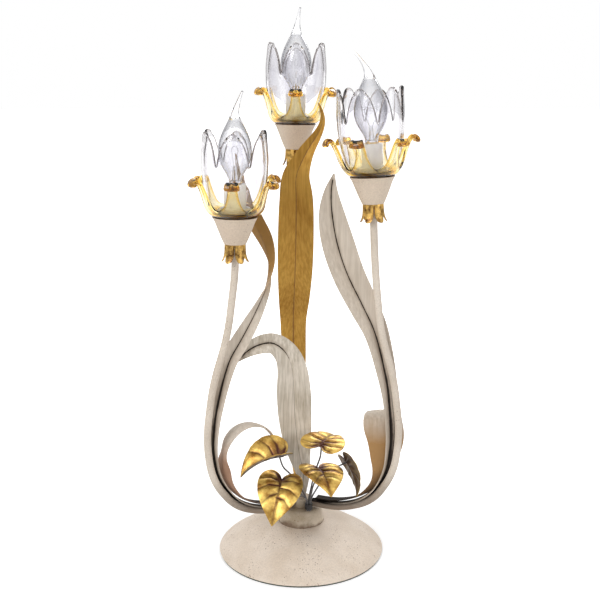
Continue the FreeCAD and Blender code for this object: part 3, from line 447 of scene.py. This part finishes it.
# %% Metal, plastic and felt
def plain_metal(name, light, dark, rough, metal=1.0, scale=200.0):
    """Also serves for plastic and sheathing, with metal at nought."""
    finish = Finish(name)
    cloud = finish.noise(scale, 4.0)
    finish.link(finish.mix(finish.ramp(cloud, (0.35, 0.0), (0.65, 1.0)), dark, light), "Base Color")
    finish.set(Metallic=metal)
    finish.link(finish.span(cloud, 0.3, 0.7, rough * 0.8, rough * 1.2), "Roughness")
    finish.bump(finish.noise(scale * 3, 3.0), 0.03, 0.4)
    return finish.material


def felt():
    finish = Finish("felt")
    fibre = finish.noise(1500.0, 4.0, 0.7)
    finish.link(finish.mix(fibre, (0.02, 0.03, 0.02), (0.07, 0.09, 0.07)), "Base Color")
    finish.set(Roughness=0.95, Sheen_Weight=0.3)
    finish.bump(fibre, 0.3, 0.8)
    return finish.material


# %% The finishes of the small parts
heart_finish = heart_gold()
sepal_finish = plain_gold()
clear_glass = blown_glass(
    "clear blown glass", (0.93, 0.925, 0.94), cord=(0.80, 0.79, 0.83), reflection_and_thickness_dark=(0.16, 0.13, 0.12),
)
bulb_glass = blown_glass(
    "bulb glass", (0.93, 0.93, 0.94), cord=(0.86, 0.86, 0.88), reflection_and_thickness_dark=(0.22, 0.22, 0.24),
    waviness=0.05, edge=(0.05, 0.75),
)
mount_glass = blown_glass(
    "bulb stem glass", (0.80, 0.81, 0.83), cord=(0.7, 0.7, 0.72), reflection_and_thickness_dark=(0.25, 0.25, 0.27), waviness=0.05,
)
amber = amber_glass()
holder_white = plain_metal("moulded white plastic", (0.92, 0.90, 0.85), (0.88, 0.86, 0.80), 0.35, 0.0)
brass = plain_metal("brass", (0.76, 0.56, 0.26), (0.62, 0.42, 0.17), 0.3)
zinc = plain_metal("zinc plated steel", (0.62, 0.61, 0.58), (0.46, 0.45, 0.43), 0.35)
iron = plain_metal("cast iron", (0.09, 0.09, 0.09), (0.04, 0.04, 0.04), 0.7, 0.6)
dark_wire = plain_metal("oxidised wire", (0.22, 0.21, 0.21), (0.09, 0.085, 0.085), 0.5, 0.5)
pitch_black = plain_metal("pitched binding", (0.035, 0.03, 0.03), (0.012, 0.01, 0.01), 0.6, 0.0)
lead_sheath = plain_metal("lead sheath", (0.55, 0.48, 0.34), (0.50, 0.43, 0.30), 0.5, 0.0)
felt_finish = felt()

# %% [markdown]
# ## Finishes on the frame's own pieces
# Tubes, cups and the base already have their true form, so they keep it and take a finish.

# %% Assign by material slot
SLOT_FINISH = {
    "cream_paint": stem_cream, "ivory_paint": LEAF_PAINT["leaf_right"], "antique_gold": sepal_finish,
    "amber_glass": amber, "clear_glass": clear_glass, "bulb_glass": bulb_glass,
    "holder_plastic": holder_white, "brass": brass,
    "bulb_mount": mount_glass, "cast_weight": iron, "felt": felt_finish, "dark_wire": dark_wire,
    "lead_sheath": lead_sheath, "plated_steel": zinc,
}
OWN_FINISH = {
    "base_dome": base_cream_painted_lit, "collar_cup": collar_cream, "hub": collar_cream, "wire_binding": pitch_black,
}
OWN_FINISH.update({"cup_" + head: cup_cream_painted_shade for head in CORNERS})
for part in frame["record"]["subparts"]:
    node = frame["nodes"][part["node"]]
    node.data.materials.clear()
    node.data.materials.append(OWN_FINISH.get(part["node"], SLOT_FINISH[part["material_slot"]]))
print("finishes given to", len(frame["nodes"]), "pieces")

# %% [markdown]
# ## Leaves
# Each leaf is a strip of sheet folded along its middle. The frame's leaf has the form. A welded
# copy keeps its fold and rims sharp under a subdivision surface, which smooths its length, and
# a bevel then rounds the rims. Last it learns how far each point lies from fold and tube.

# %% Leaves
FOLD_ANGLE = (0.42, 1.2)
KEEP_ANGLE = 0.42
RIM_ANGLE = 1.25
RIM_BEVEL = 0.25 * MM
FARTHEST = 0.099


def keep_sharp(piece, angle):
    """Creases every edge that bends by more than an angle, so that subdivision keeps it."""
    shape = bmesh.new()
    shape.from_mesh(piece.data)
    crease = shape.edges.layers.float.new("crease_edge")
    for edge in shape.edges:
        if len(edge.link_faces) == 2 and edge.calc_face_angle() > angle:
            edge[crease] = 1.0
    shape.to_mesh(piece.data)
    shape.free()


def fold_lines(piece):
    """The edges along the hollow of the fold, without those that touch a rim."""
    shape = bmesh.new()
    shape.from_mesh(piece.data)
    bends = {e: e.calc_face_angle_signed() for e in shape.edges if len(e.link_faces) == 2}
    rim = {v for e, bend in bends.items() if abs(bend) > RIM_ANGLE for v in e.verts}
    lines = []
    for edge, bend in bends.items():
        if FOLD_ANGLE[0] < -bend < FOLD_ANGLE[1] and not rim.intersection(edge.verts):
            lines.append((edge.verts[0].co.copy(), edge.verts[1].co - edge.verts[0].co))
    shape.free()
    return lines


def away_from_lines(point, lines):
    """The distance from a point to the nearest of some straight lines, in millimetres."""
    nearest = FARTHEST
    for start, way in lines:
        share = max(0.0, min(1.0, (point - start).dot(way) / max(way.length_squared, 1e-12)))
        nearest = min(nearest, (point - start - way * share).length)
    return nearest / MM


def mark_points(piece, name, values):
    piece.data.attributes.new(name, "FLOAT", "POINT").data.foreach_set("value", values)


def surface_of(*nodes):
    """A search tree over the surfaces of some frame pieces."""
    points, faces = [], []
    for node in nodes:
        data = frame["nodes"][node].data
        faces += [[len(points) + i for i in face.vertices] for face in data.polygons]
        points += [v.co.copy() for v in data.vertices]
    return BVHTree.FromPolygons(points, faces)


tubes = surface_of("stem_left", "stem_right", "stem_back")
for node, paint in LEAF_PAINT.items():
    leaf = welded_copy(node, node + "_blade")
    lines = fold_lines(leaf)
    keep_sharp(leaf, KEEP_ANGLE)
    apply_modifier(leaf, "SUBSURF", levels=1, render_levels=1)
    apply_modifier(
        leaf, "BEVEL", width=RIM_BEVEL, segments=2, limit_method="ANGLE", angle_limit=math.radians(60),
    )
    mark_points(leaf, "crease_way", [away_from_lines(v.co, lines) for v in leaf.data.vertices])
    mark_points(leaf, "tube_way", [tubes.find_nearest(v.co)[3] / MM for v in leaf.data.vertices])
    print(node, "fold edges", len(lines))
    slot = "antique_gold" if node == "leaf_back" else "ivory_paint"
    finish_piece(leaf, "stand", slot, paint, node, angle=24.0)

# %% [markdown]
# ## Glass petals
# A gaffer blows a bowl and cuts it into petals while it is soft. Here a ring of edges is
# extruded up the bowl's outline, the wall is split between the petals, and each petal is drawn
# in towards its tip. Solidify gives the wall, and subdivision melts the rims round.

# %% Petalled bowls
PETALS = 6
COLUMNS = 12
FOOT_RADIUS = 25
BORE_RADIUS = 14.6
HEAD_PLACE = {}
for joint in frame["joints"]:
    if joint["type"] == "hinge":
        axis = Vector(joint["axis"])
        turn = Vector((0, 0, 1)).rotation_difference(axis).to_matrix().to_4x4()
        HEAD_PLACE[joint["name"].rsplit("_", 1)[1]] = Matrix.Translation(joint["pos_m"]) @ turn


def bowl_of_rings(name, rings):
    """Extrudes a circle up through (radius, height) rings, in millimetres."""
    first_radius, first_height = rings[0]
    bpy.ops.object.select_all(action="DESELECT")
    bpy.ops.mesh.primitive_circle_add(
        vertices=PETALS * COLUMNS, radius=first_radius * MM, location=(0, 0, 0),
    )
    piece = bpy.context.object
    piece.name = name
    bpy.ops.object.mode_set(mode="EDIT")
    bpy.ops.mesh.select_all(action="SELECT")
    bpy.ops.transform.translate(value=(0, 0, first_height * MM))
    radius, height = rings[0]
    for next_radius, next_height in rings[1:]:
        rise = (0, 0, (next_height - height) * MM)
        bpy.ops.mesh.extrude_edges_move(TRANSFORM_OT_translate={"value": rise})
        scale = next_radius / radius
        bpy.ops.transform.resize(value=(scale, scale, 1), center_override=(0, 0, next_height * MM))
        radius, height = next_radius, next_height
    bpy.ops.object.mode_set(mode="OBJECT")
    return piece


def petal_of(vertex):
    """The petal that a point's faces belong to, by the way those faces look from the axis."""
    centre = Vector((0, 0, 0))
    for face in vertex.link_faces:
        centre += face.calc_center_median()
    angle = math.degrees(math.atan2(centre.y, centre.x)) % 360
    return int(angle // (360 / PETALS))


def column_of(point):
    """The column that a point of a bowl stands in, counted from +X."""
    share = (math.degrees(math.atan2(point.y, point.x)) % 360) / 360
    return round(share * PETALS * COLUMNS) % (PETALS * COLUMNS)


def split_and_draw(piece, from_height, mark, reshape):
    """Parts the wall between the petals above from_height, then draws each petal in by reshape.
    Reshape gives a point its place, its value for the attribute mark and its share of the wall."""
    thick = piece.vertex_groups.new(name="thick").index
    shape = bmesh.new()
    shape.from_mesh(piece.data)
    parting = []
    for edge in shape.edges:
        a, b = (v.co for v in edge.verts)
        upright = column_of(a) == column_of(b) and column_of(a) % COLUMNS == 0
        high = min(a.z, b.z) > (from_height - 0.05) * MM
        if upright and high and min(a.xy.length, b.xy.length) > FOOT_RADIUS * MM:
            parting.append(edge)
    print(piece.name, "edges parted", len(parting))
    bmesh.ops.split_edges(shape, edges=parting)
    value = shape.verts.layers.float.new(mark)
    weight = shape.verts.layers.deform.verify()
    for vertex in shape.verts:
        angle = math.degrees(math.atan2(vertex.co.y, vertex.co.x)) % 360
        petal = petal_of(vertex)
        middle = (petal + 0.5) * 360 / PETALS
        across = ((angle - middle + 180) % 360 - 180) / (180 / PETALS)
        across = max(-1.0, min(1.0, across))
        place, marked, wall = reshape(petal, across, vertex.co.xy.length / MM, vertex.co.z / MM)
        radius, turn, height = place
        turn = math.radians(middle + turn * 180 / PETALS)
        vertex.co = Vector((radius * math.cos(turn), radius * math.sin(turn), height)) * MM
        vertex[value] = marked
        vertex[weight][thick] = wall
    shape.to_mesh(piece.data)
    shape.free()


def melt(piece, thickness_mm):
    """Gives the blown skin its wall, thicker where the group says so, and melts every rim round."""
    apply_modifier(
        piece, "SOLIDIFY", thickness=thickness_mm * MM, offset=-1.0, use_even_offset=True,
        vertex_group="thick",
    )
    apply_modifier(piece, "SUBSURF", levels=2, render_levels=2)


def between(value, low, high):
    return max(0.0, min(1.0, (value - low) / (high - low)))


def to_rim(across, half, radius):
    """How far a point of a petal lies from the petal's side, in millimetres."""
    return (1 - abs(across)) * half * radius * math.pi / PETALS


def placed_on(head, piece, turn):
    """Copies a flower piece to a head, turned about its axis."""
    copy = bpy.data.objects.new(piece.name + "_" + head, piece.data.copy())
    bpy.context.scene.collection.objects.link(copy)
    copy.data.transform(HEAD_PLACE[head] @ Matrix.Rotation(math.radians(turn), 4, "Z"))
    return copy


# %% [markdown]
# ### The clear tulip
# Six tall petals, cupped across, each with a thick bead along its rim and at its tip that is darkened as painted
# reflection. No two petals end at quite the same height, as in work done by eye.

# %% Tulip
TULIP_FOOT = 30.7
TULIP_HEIGHT = {"left": 87.0, "right": 90.0, "back": 90.0}
TULIP_OUTLINE = (
    (0.0, 20.5), (0.09, 28.0), (0.24, 31.9), (0.46, 34.5), (0.66, 35.0), (0.86, 33.8), (1.0, 33.2),
)
TULIP_ROWS = (
    0.0, 0.03, 0.08, 0.16, 0.26, 0.36, 0.46, 0.54, 0.57, 0.60, 0.66, 0.72, 0.78, 0.84, 0.90, 0.95, 0.985,
)
PETAL_TURN = {"left": 270.0, "right": 248.0, "back": 270.0}
NOTCH_FROM = 0.57
WALL_FULL = 4.8
WALL_BODY = 0.48
RIM_BEAD_MM = 2.2


def tulip_radius(share):
    """The tulip's outer radius at a share of its height."""
    for (a, ra), (b, rb) in zip(TULIP_OUTLINE, TULIP_OUTLINE[1:]):
        if share <= b:
            return ra + (rb - ra) * (share - a) / (b - a)
    return TULIP_OUTLINE[-1][1]


def tulip(height):
    """One tulip on its own axis, as tall as asked for, in millimetres."""
    rings = [(tulip_radius(s), TULIP_FOOT + s * height) for s in TULIP_ROWS]
    piece = bowl_of_rings("tulip_glass", [(BORE_RADIUS, TULIP_FOOT)] + rings)
    top = TULIP_FOOT + height
    notch = TULIP_FOOT + NOTCH_FROM * height

    def reshape(petal, across, radius, z):
        up = between(z, notch, top)
        half = 1.0 - 0.66 * up ** 1.6
        own = 0.5 + 0.5 * math.sin(2.4 * petal + 0.7)
        bead = between(RIM_BEAD_MM - to_rim(across, half, radius), 0.0, RIM_BEAD_MM)
        bead *= between(up, 0.0, 0.08)
        cup = math.cos(across * math.pi / 2) * 1.5 * between(z, TULIP_FOOT + 12, top - 25)
        drop = 5.0 * up ** 4 * abs(across) ** 2.4 + 2.5 * own * up ** 2
        place = (radius + cup - 0.8 + (1.8 - 1.6 * own) * up ** 4, across * half, z - drop)
        return place, max(bead, between(up, 0.86, 1.0)), WALL_BODY + 0.34 * between(up, 0.8, 1.0)

    split_and_draw(piece, notch, "rim", reshape)
    melt(piece, WALL_FULL)
    return piece


for head in CORNERS:
    flower = tulip(TULIP_HEIGHT[head])
    petals = placed_on(head, flower, PETAL_TURN[head] - 180 / PETALS)
    bpy.data.objects.remove(flower)
    finish_piece(petals, "stand", "clear_glass", clear_glass, "tulip_" + head, angle=60.0)

# %% [markdown]
# ### The amber calyx
# A low bowl that narrows into six fingers. They lean out and end in a thick knob that rolls
# over. The amber is deepest in the knobs, along the rims and in the foot.

# %% Calyx
CALYX_FOOT = 28.05
CALYX_OUTLINE = [
    (BORE_RADIUS, 0.0), (19.0, 0.0), (23.2, 0.4), (27.2, 3.4), (30.4, 7.5), (32.8, 11.5), (34.7, 15.5),
    (36.3, 19.5), (37.7, 23.5), (39.0, 27.0), (40.4, 30.4), (41.9, 33.6), (43.6, 36.0), (45.6, 36.8),
    (47.0, 35.2), (47.0, 32.6),
]
CALYX_PART_FROM = 6.5
FINGER_SHARE = 0.25
FINGER_CUP = 2.8
FINGER_RIM_MM = 3.4
CALYX_RIM = 47.0


def calyx():
    """One calyx on its own axis."""
    piece = bowl_of_rings("calyx_glass", [(r, CALYX_FOOT + z) for r, z in CALYX_OUTLINE])

    def reshape(petal, across, radius, z):
        up = between(radius, 29.5, CALYX_RIM)
        half = FINGER_SHARE + (1 - FINGER_SHARE) * (1.0 - up) ** 3.2 + 0.02 * between(up, 0.72, 0.95)
        own = 0.5 + 0.5 * math.sin(1.9 * petal + 0.4)
        rim = between(FINGER_RIM_MM - to_rim(across, half, radius), 0.0, FINGER_RIM_MM)
        rim *= between(up, 0.02, 0.2)
        knob = between(up, 0.70, 0.92)
        foot = 1.0 - between(z - CALYX_FOOT, 0.5, 7.0)
        cup = FINGER_CUP * across ** 2 * between(up, 0.05, 0.45) * (1 - 0.45 * knob)
        place = (radius - cup - 1.0 * own * up, across * half, z + 0.55 * cup - 2.0 * own * up)
        return place, max(0.66 * rim, 0.92 * knob, foot), WALL_BODY + 0.6 * knob

    split_and_draw(piece, CALYX_FOOT + CALYX_PART_FROM, "depth", reshape)
    melt(piece, WALL_FULL)
    return piece


calyx_master = calyx()
for head in CORNERS:
    petals = placed_on(head, calyx_master, PETAL_TURN[head] - 180 / PETALS)
    finish_piece(petals, "stand", "amber_glass", amber, "calyx_" + head, angle=60.0)
bpy.data.objects.remove(calyx_master)

# %% [markdown]
# ## Screw caps
# A bulb's brass cap has a round thread rolled into thin sheet. One small circle beside a plain
# sleeve, wound up by the Screw modifier, gives the thread.

# %% Screw caps
CAP_FOOT = 43.5
CAP_LENGTH = 20.0
CAP_CREST = 6.95
THREAD_ROUND = 0.6
THREAD_PITCH = 2.82
THREAD_TURNS = 5


def apply_place():
    """Puts the selected object's place, turn and size into its mesh."""
    bpy.ops.object.transform_apply(location=True, rotation=True, scale=True)


def screw_cap(head):
    """A sleeve with a round thread, on the axis of one head."""
    only(petals)
    bpy.ops.object.select_all(action="DESELECT")
    middle = (0, 0, (CAP_FOOT + CAP_LENGTH / 2) * MM)
    bpy.ops.mesh.primitive_cylinder_add(
        vertices=48, radius=(CAP_CREST - THREAD_ROUND) * MM, depth=CAP_LENGTH * MM, location=middle,
    )
    sleeve = bpy.context.object
    sleeve.name = "screw_cap_" + head
    apply_place()
    apply_modifier(sleeve, "BEVEL", width=0.5 * MM, segments=3, limit_method="ANGLE")
    bpy.ops.object.select_all(action="DESELECT")
    start = ((CAP_CREST - THREAD_ROUND) * MM, 0, (CAP_FOOT + 3.2) * MM)
    bpy.ops.mesh.primitive_circle_add(
        vertices=10, radius=THREAD_ROUND * MM, location=start, rotation=(math.pi / 2, 0, 0),
        fill_type="NOTHING",
    )
    thread = bpy.context.object
    apply_place()
    apply_modifier(
        thread, "SCREW", axis="Z", screw_offset=THREAD_PITCH * MM, iterations=THREAD_TURNS,
        steps=36, render_steps=36,
    )
    only(sleeve)
    thread.select_set(True)
    bpy.ops.object.join()
    sleeve.data.transform(HEAD_PLACE[head])
    return sleeve


for head in CORNERS:
    finish_piece(screw_cap(head), "bulb_" + head, "brass", brass, "bulb_cap_" + head, angle=40.0)

# %% [markdown]
# ## Heart leaves
# Five small leaves are stamped from sheet: puffed lobes, a midrib and side veins pressed in
# from above. A fine skin over the frame's leaf takes the veins as real grooves.

# %% Hearts
HEARTS = {
    "front": ((-21.3, -50, 106), (-10.4, -38.8, -33.5), (0, -0.64, 0.74), 50.0, 64.0),
    "left": ((-20.9, -45.5, 132.0), (-46.2, -11.6, -14.3), (-0.256, -0.189, 0.948), 46.0, 62.0),
    "top": ((20.8, -52, 146.5), (0.42, 0.9, 0.05), (0.02, -0.13, 0.98), 50.0, 50.0),
    "right": ((19.5, -43, 117.5), (14.2, -40.5, -13.2), (0.218, -0.232, 0.948), 50.0, 54.0),
    "far": ((50.4, -22, 117), (15.7, -16.6, -35.2), (0.87, 0.42, 0.27), 40.0, 52.0),
}
# Side veins: (start down the midrib, end across, end down), as shares of the length and width.
SIDE_VEINS = [(0.02, 0.32, -0.13), (0.06, 0.47, 0.06), (0.16, 0.46, 0.30), (0.32, 0.32, 0.54)]
VEIN_SAG = 0.05
VALLEY_SPREAD = 9.0
LINE_SPREAD = 1.3
THROAT_SPREAD = 60.0
VALLEY_DEPTH = 1.15
LINE_DEPTH = 0.45
SKIN_LIFT = 0.6
SKIN_VOXEL = 0.5


def heart_frame(notch, tip_way, look):
    """The leaf's own frame: origin at its notch, -Y to its tip, +Z out of its face."""
    y = -Vector(tip_way).normalized()
    z = (Vector(look) - y * Vector(look).dot(y)).normalized()
    x = y.cross(z)
    place = Matrix((x, y, z)).transposed().to_4x4()
    return Matrix.Translation(Vector(notch) * MM) @ place


def vein_runs(width, length):
    """The midrib and the bowed side veins as straight runs: (start, end, first depth, last depth)."""
    runs = [(Vector((0, 0)), Vector((0, -0.78 * length)), 1.0, 0.4)]
    for i, (start, across, down) in enumerate(SIDE_VEINS):
        for side in (-1, 1):
            a = Vector((0, -start * length * (1 + 0.12 * side)))
            b = Vector((side * across * width, -(down + 0.015 * side * (-1) ** i) * length))
            bow = (a + b) / 2 + Vector((0, VEIN_SAG * length))
            runs += [(a, bow, 0.9, 0.75), (bow, b, 0.75, 0.35)]
    return runs


def groove(flat, runs):
    """How strongly the nearest vein is felt at a point: its broad valley and its sharp line."""
    valley, sharp = 0.0, 0.0
    for a, b, first, last in runs:
        way = b - a
        share = max(0.0, min(1.0, (flat - a).dot(way) / way.length_squared))
        away = (flat - a - way * share).length_squared
        depth = first + (last - first) * share
        valley = max(valley, depth * math.exp(-away / VALLEY_SPREAD))
        sharp = max(sharp, depth * math.exp(-away / LINE_SPREAD))
    return valley, sharp


def emboss(piece, place, width, length):
    """Presses the veins into the leaf, marks the veins for the patina and marks the underside for painted shade.
    """
    back = place.inverted()
    face_way = place.to_3x3() @ Vector((0, 0, 1))
    runs = vein_runs(width, length)
    veins = []
    # Points that face away from the leaf's front are marked for painted shade.
    under = [0.0 if v.normal.dot(face_way) > -0.05 else 1.0 for v in piece.data.vertices]
    for vertex in piece.data.vertices:
        local = back @ vertex.co / MM
        flat = local.xy
        valley, sharp = groove(flat, runs)
        throat = math.exp(-flat.length_squared / THROAT_SPREAD)
        veins.append(min(1.0, 0.85 * sharp + 0.30 * valley + 0.9 * throat))
        local.z -= VALLEY_DEPTH * valley + LINE_DEPTH * sharp - SKIN_LIFT
        vertex.co = place @ (local * MM)
    mark_points(piece, "vein", veins)
    mark_points(piece, "under", under)


for name, (notch, tip_way, look, width, length) in HEARTS.items():
    leaf = welded_copy("heart_" + name, "heart_leaf_" + name)
    apply_modifier(leaf, "REMESH", mode="VOXEL", voxel_size=SKIN_VOXEL * MM)
    apply_modifier(leaf, "SMOOTH", factor=0.5, iterations=3)
    emboss(leaf, heart_frame(notch, tip_way, look), width, length)
    finish_piece(leaf, "stand", "antique_gold", heart_finish, "heart_" + name, angle=50.0)

# %% [markdown]
# ## Studio
# A white table and backdrop, one large soft lamp from the upper left, a weaker one from the
# right, and an even white room. The table shows white to the eye but keeps the lamp's shadow.


# %% Floor, light and room
def ray_kinds(tree, lighting, mirrored):
    """1 for what the eye meets, directly or through glass, mirrored for reflections, and
    lighting for the light that falls on surfaces."""
    path = tree.nodes.new("ShaderNodeLightPath")
    value = lighting
    for kind, seen in (("Is Glossy Ray", mirrored), ("Is Transmission Ray", 1.0), ("Is Camera Ray", 1.0)):
        mix = tree.nodes.new("ShaderNodeMix")
        tree.links.new(path.outputs[kind], mix.inputs["Factor"])
        for source, socket in ((value, mix.inputs["A"]), (seen, mix.inputs["B"])):
            if isinstance(source, bpy.types.NodeSocket):
                tree.links.new(source, socket)
            else:
                socket.default_value = source
        value = mix.outputs["Result"]
    return value


def floor():
    """A wide white table that glows to the eye away from the lamp, so that it fades into the room."""
    only(frame["nodes"]["hub"])
    bpy.ops.object.select_all(action="DESELECT")
    bpy.ops.mesh.primitive_circle_add(vertices=96, radius=14.0, fill_type="NGON", location=(0, 0, 0))
    table = bpy.context.object
    table.name = "table"
    finish = Finish("white table")
    nodes, links = finish.nodes, finish.links
    finish.set(Base_Color=(0.86, 0.86, 0.86, 1), Roughness=0.9)
    glow = nodes.new("ShaderNodeEmission")
    away = nodes.new("ShaderNodeVectorMath")
    away.operation = "LENGTH"
    links.new(finish.place, away.inputs[0])
    share = finish.span(away.outputs["Value"], 0.10, 0.55, 0.34, 1.0)
    strength = finish.math("MULTIPLY", share, ray_kinds(finish.material.node_tree, 0.0, 0.5))
    links.new(strength, glow.inputs["Strength"])
    both = nodes.new("ShaderNodeAddShader")
    links.new(finish.shader.outputs[0], both.inputs[0])
    links.new(glow.outputs[0], both.inputs[1])
    links.new(both.outputs[0], nodes["Material Output"].inputs["Surface"])
    print("table lit, radius 14 m")
    table.data.materials.append(finish.material)


def room(level):
    """An even white room. In reflections its walls are dimmer than its ceiling."""
    world = bpy.data.worlds.new("white room")
    bpy.context.scene.world = world
    world.use_nodes = True
    tree = world.node_tree
    sky = tree.nodes["Background"]
    sky.inputs["Color"].default_value = (1, 1, 1, 1)
    way = tree.nodes.new("ShaderNodeTexCoord")
    split = tree.nodes.new("ShaderNodeSeparateXYZ")
    tree.links.new(way.outputs["Generated"], split.inputs[0])
    rise = tree.nodes.new("ShaderNodeMapRange")
    for key, value in (("From Min", 0.1), ("From Max", 0.75), ("To Min", 0.45), ("To Max", 1.1)):
        rise.inputs[key].default_value = value
    tree.links.new(split.outputs["Z"], rise.inputs["Value"])
    tree.links.new(ray_kinds(tree, level, rise.outputs["Result"]), sky.inputs["Strength"])


def lamp(name, place, size, power, aim=(0, 0, 0.28)):
    """A soft rectangular lamp aimed at the middle of the object."""
    data = bpy.data.lights.new(name, "AREA")
    data.shape = "RECTANGLE"
    data.size, data.size_y = size
    data.energy = power
    light = bpy.data.objects.new(name, data)
    light.location = place
    light.rotation_euler = (Vector(aim) - Vector(place)).to_track_quat("-Z", "Y").to_euler()
    bpy.context.scene.collection.objects.link(light)


floor()
room(0.55)
lamp("window", (-1.0, -1.1, 1.3), (0.9, 0.9), 14)
lamp("fill", (1.3, -0.8, 0.7), (0.7, 1.0), 5)
lamp("rim", (0.3, 1.2, 1.1), (0.9, 0.5), 6)

bpy.context.scene.view_settings.view_transform = "Standard"
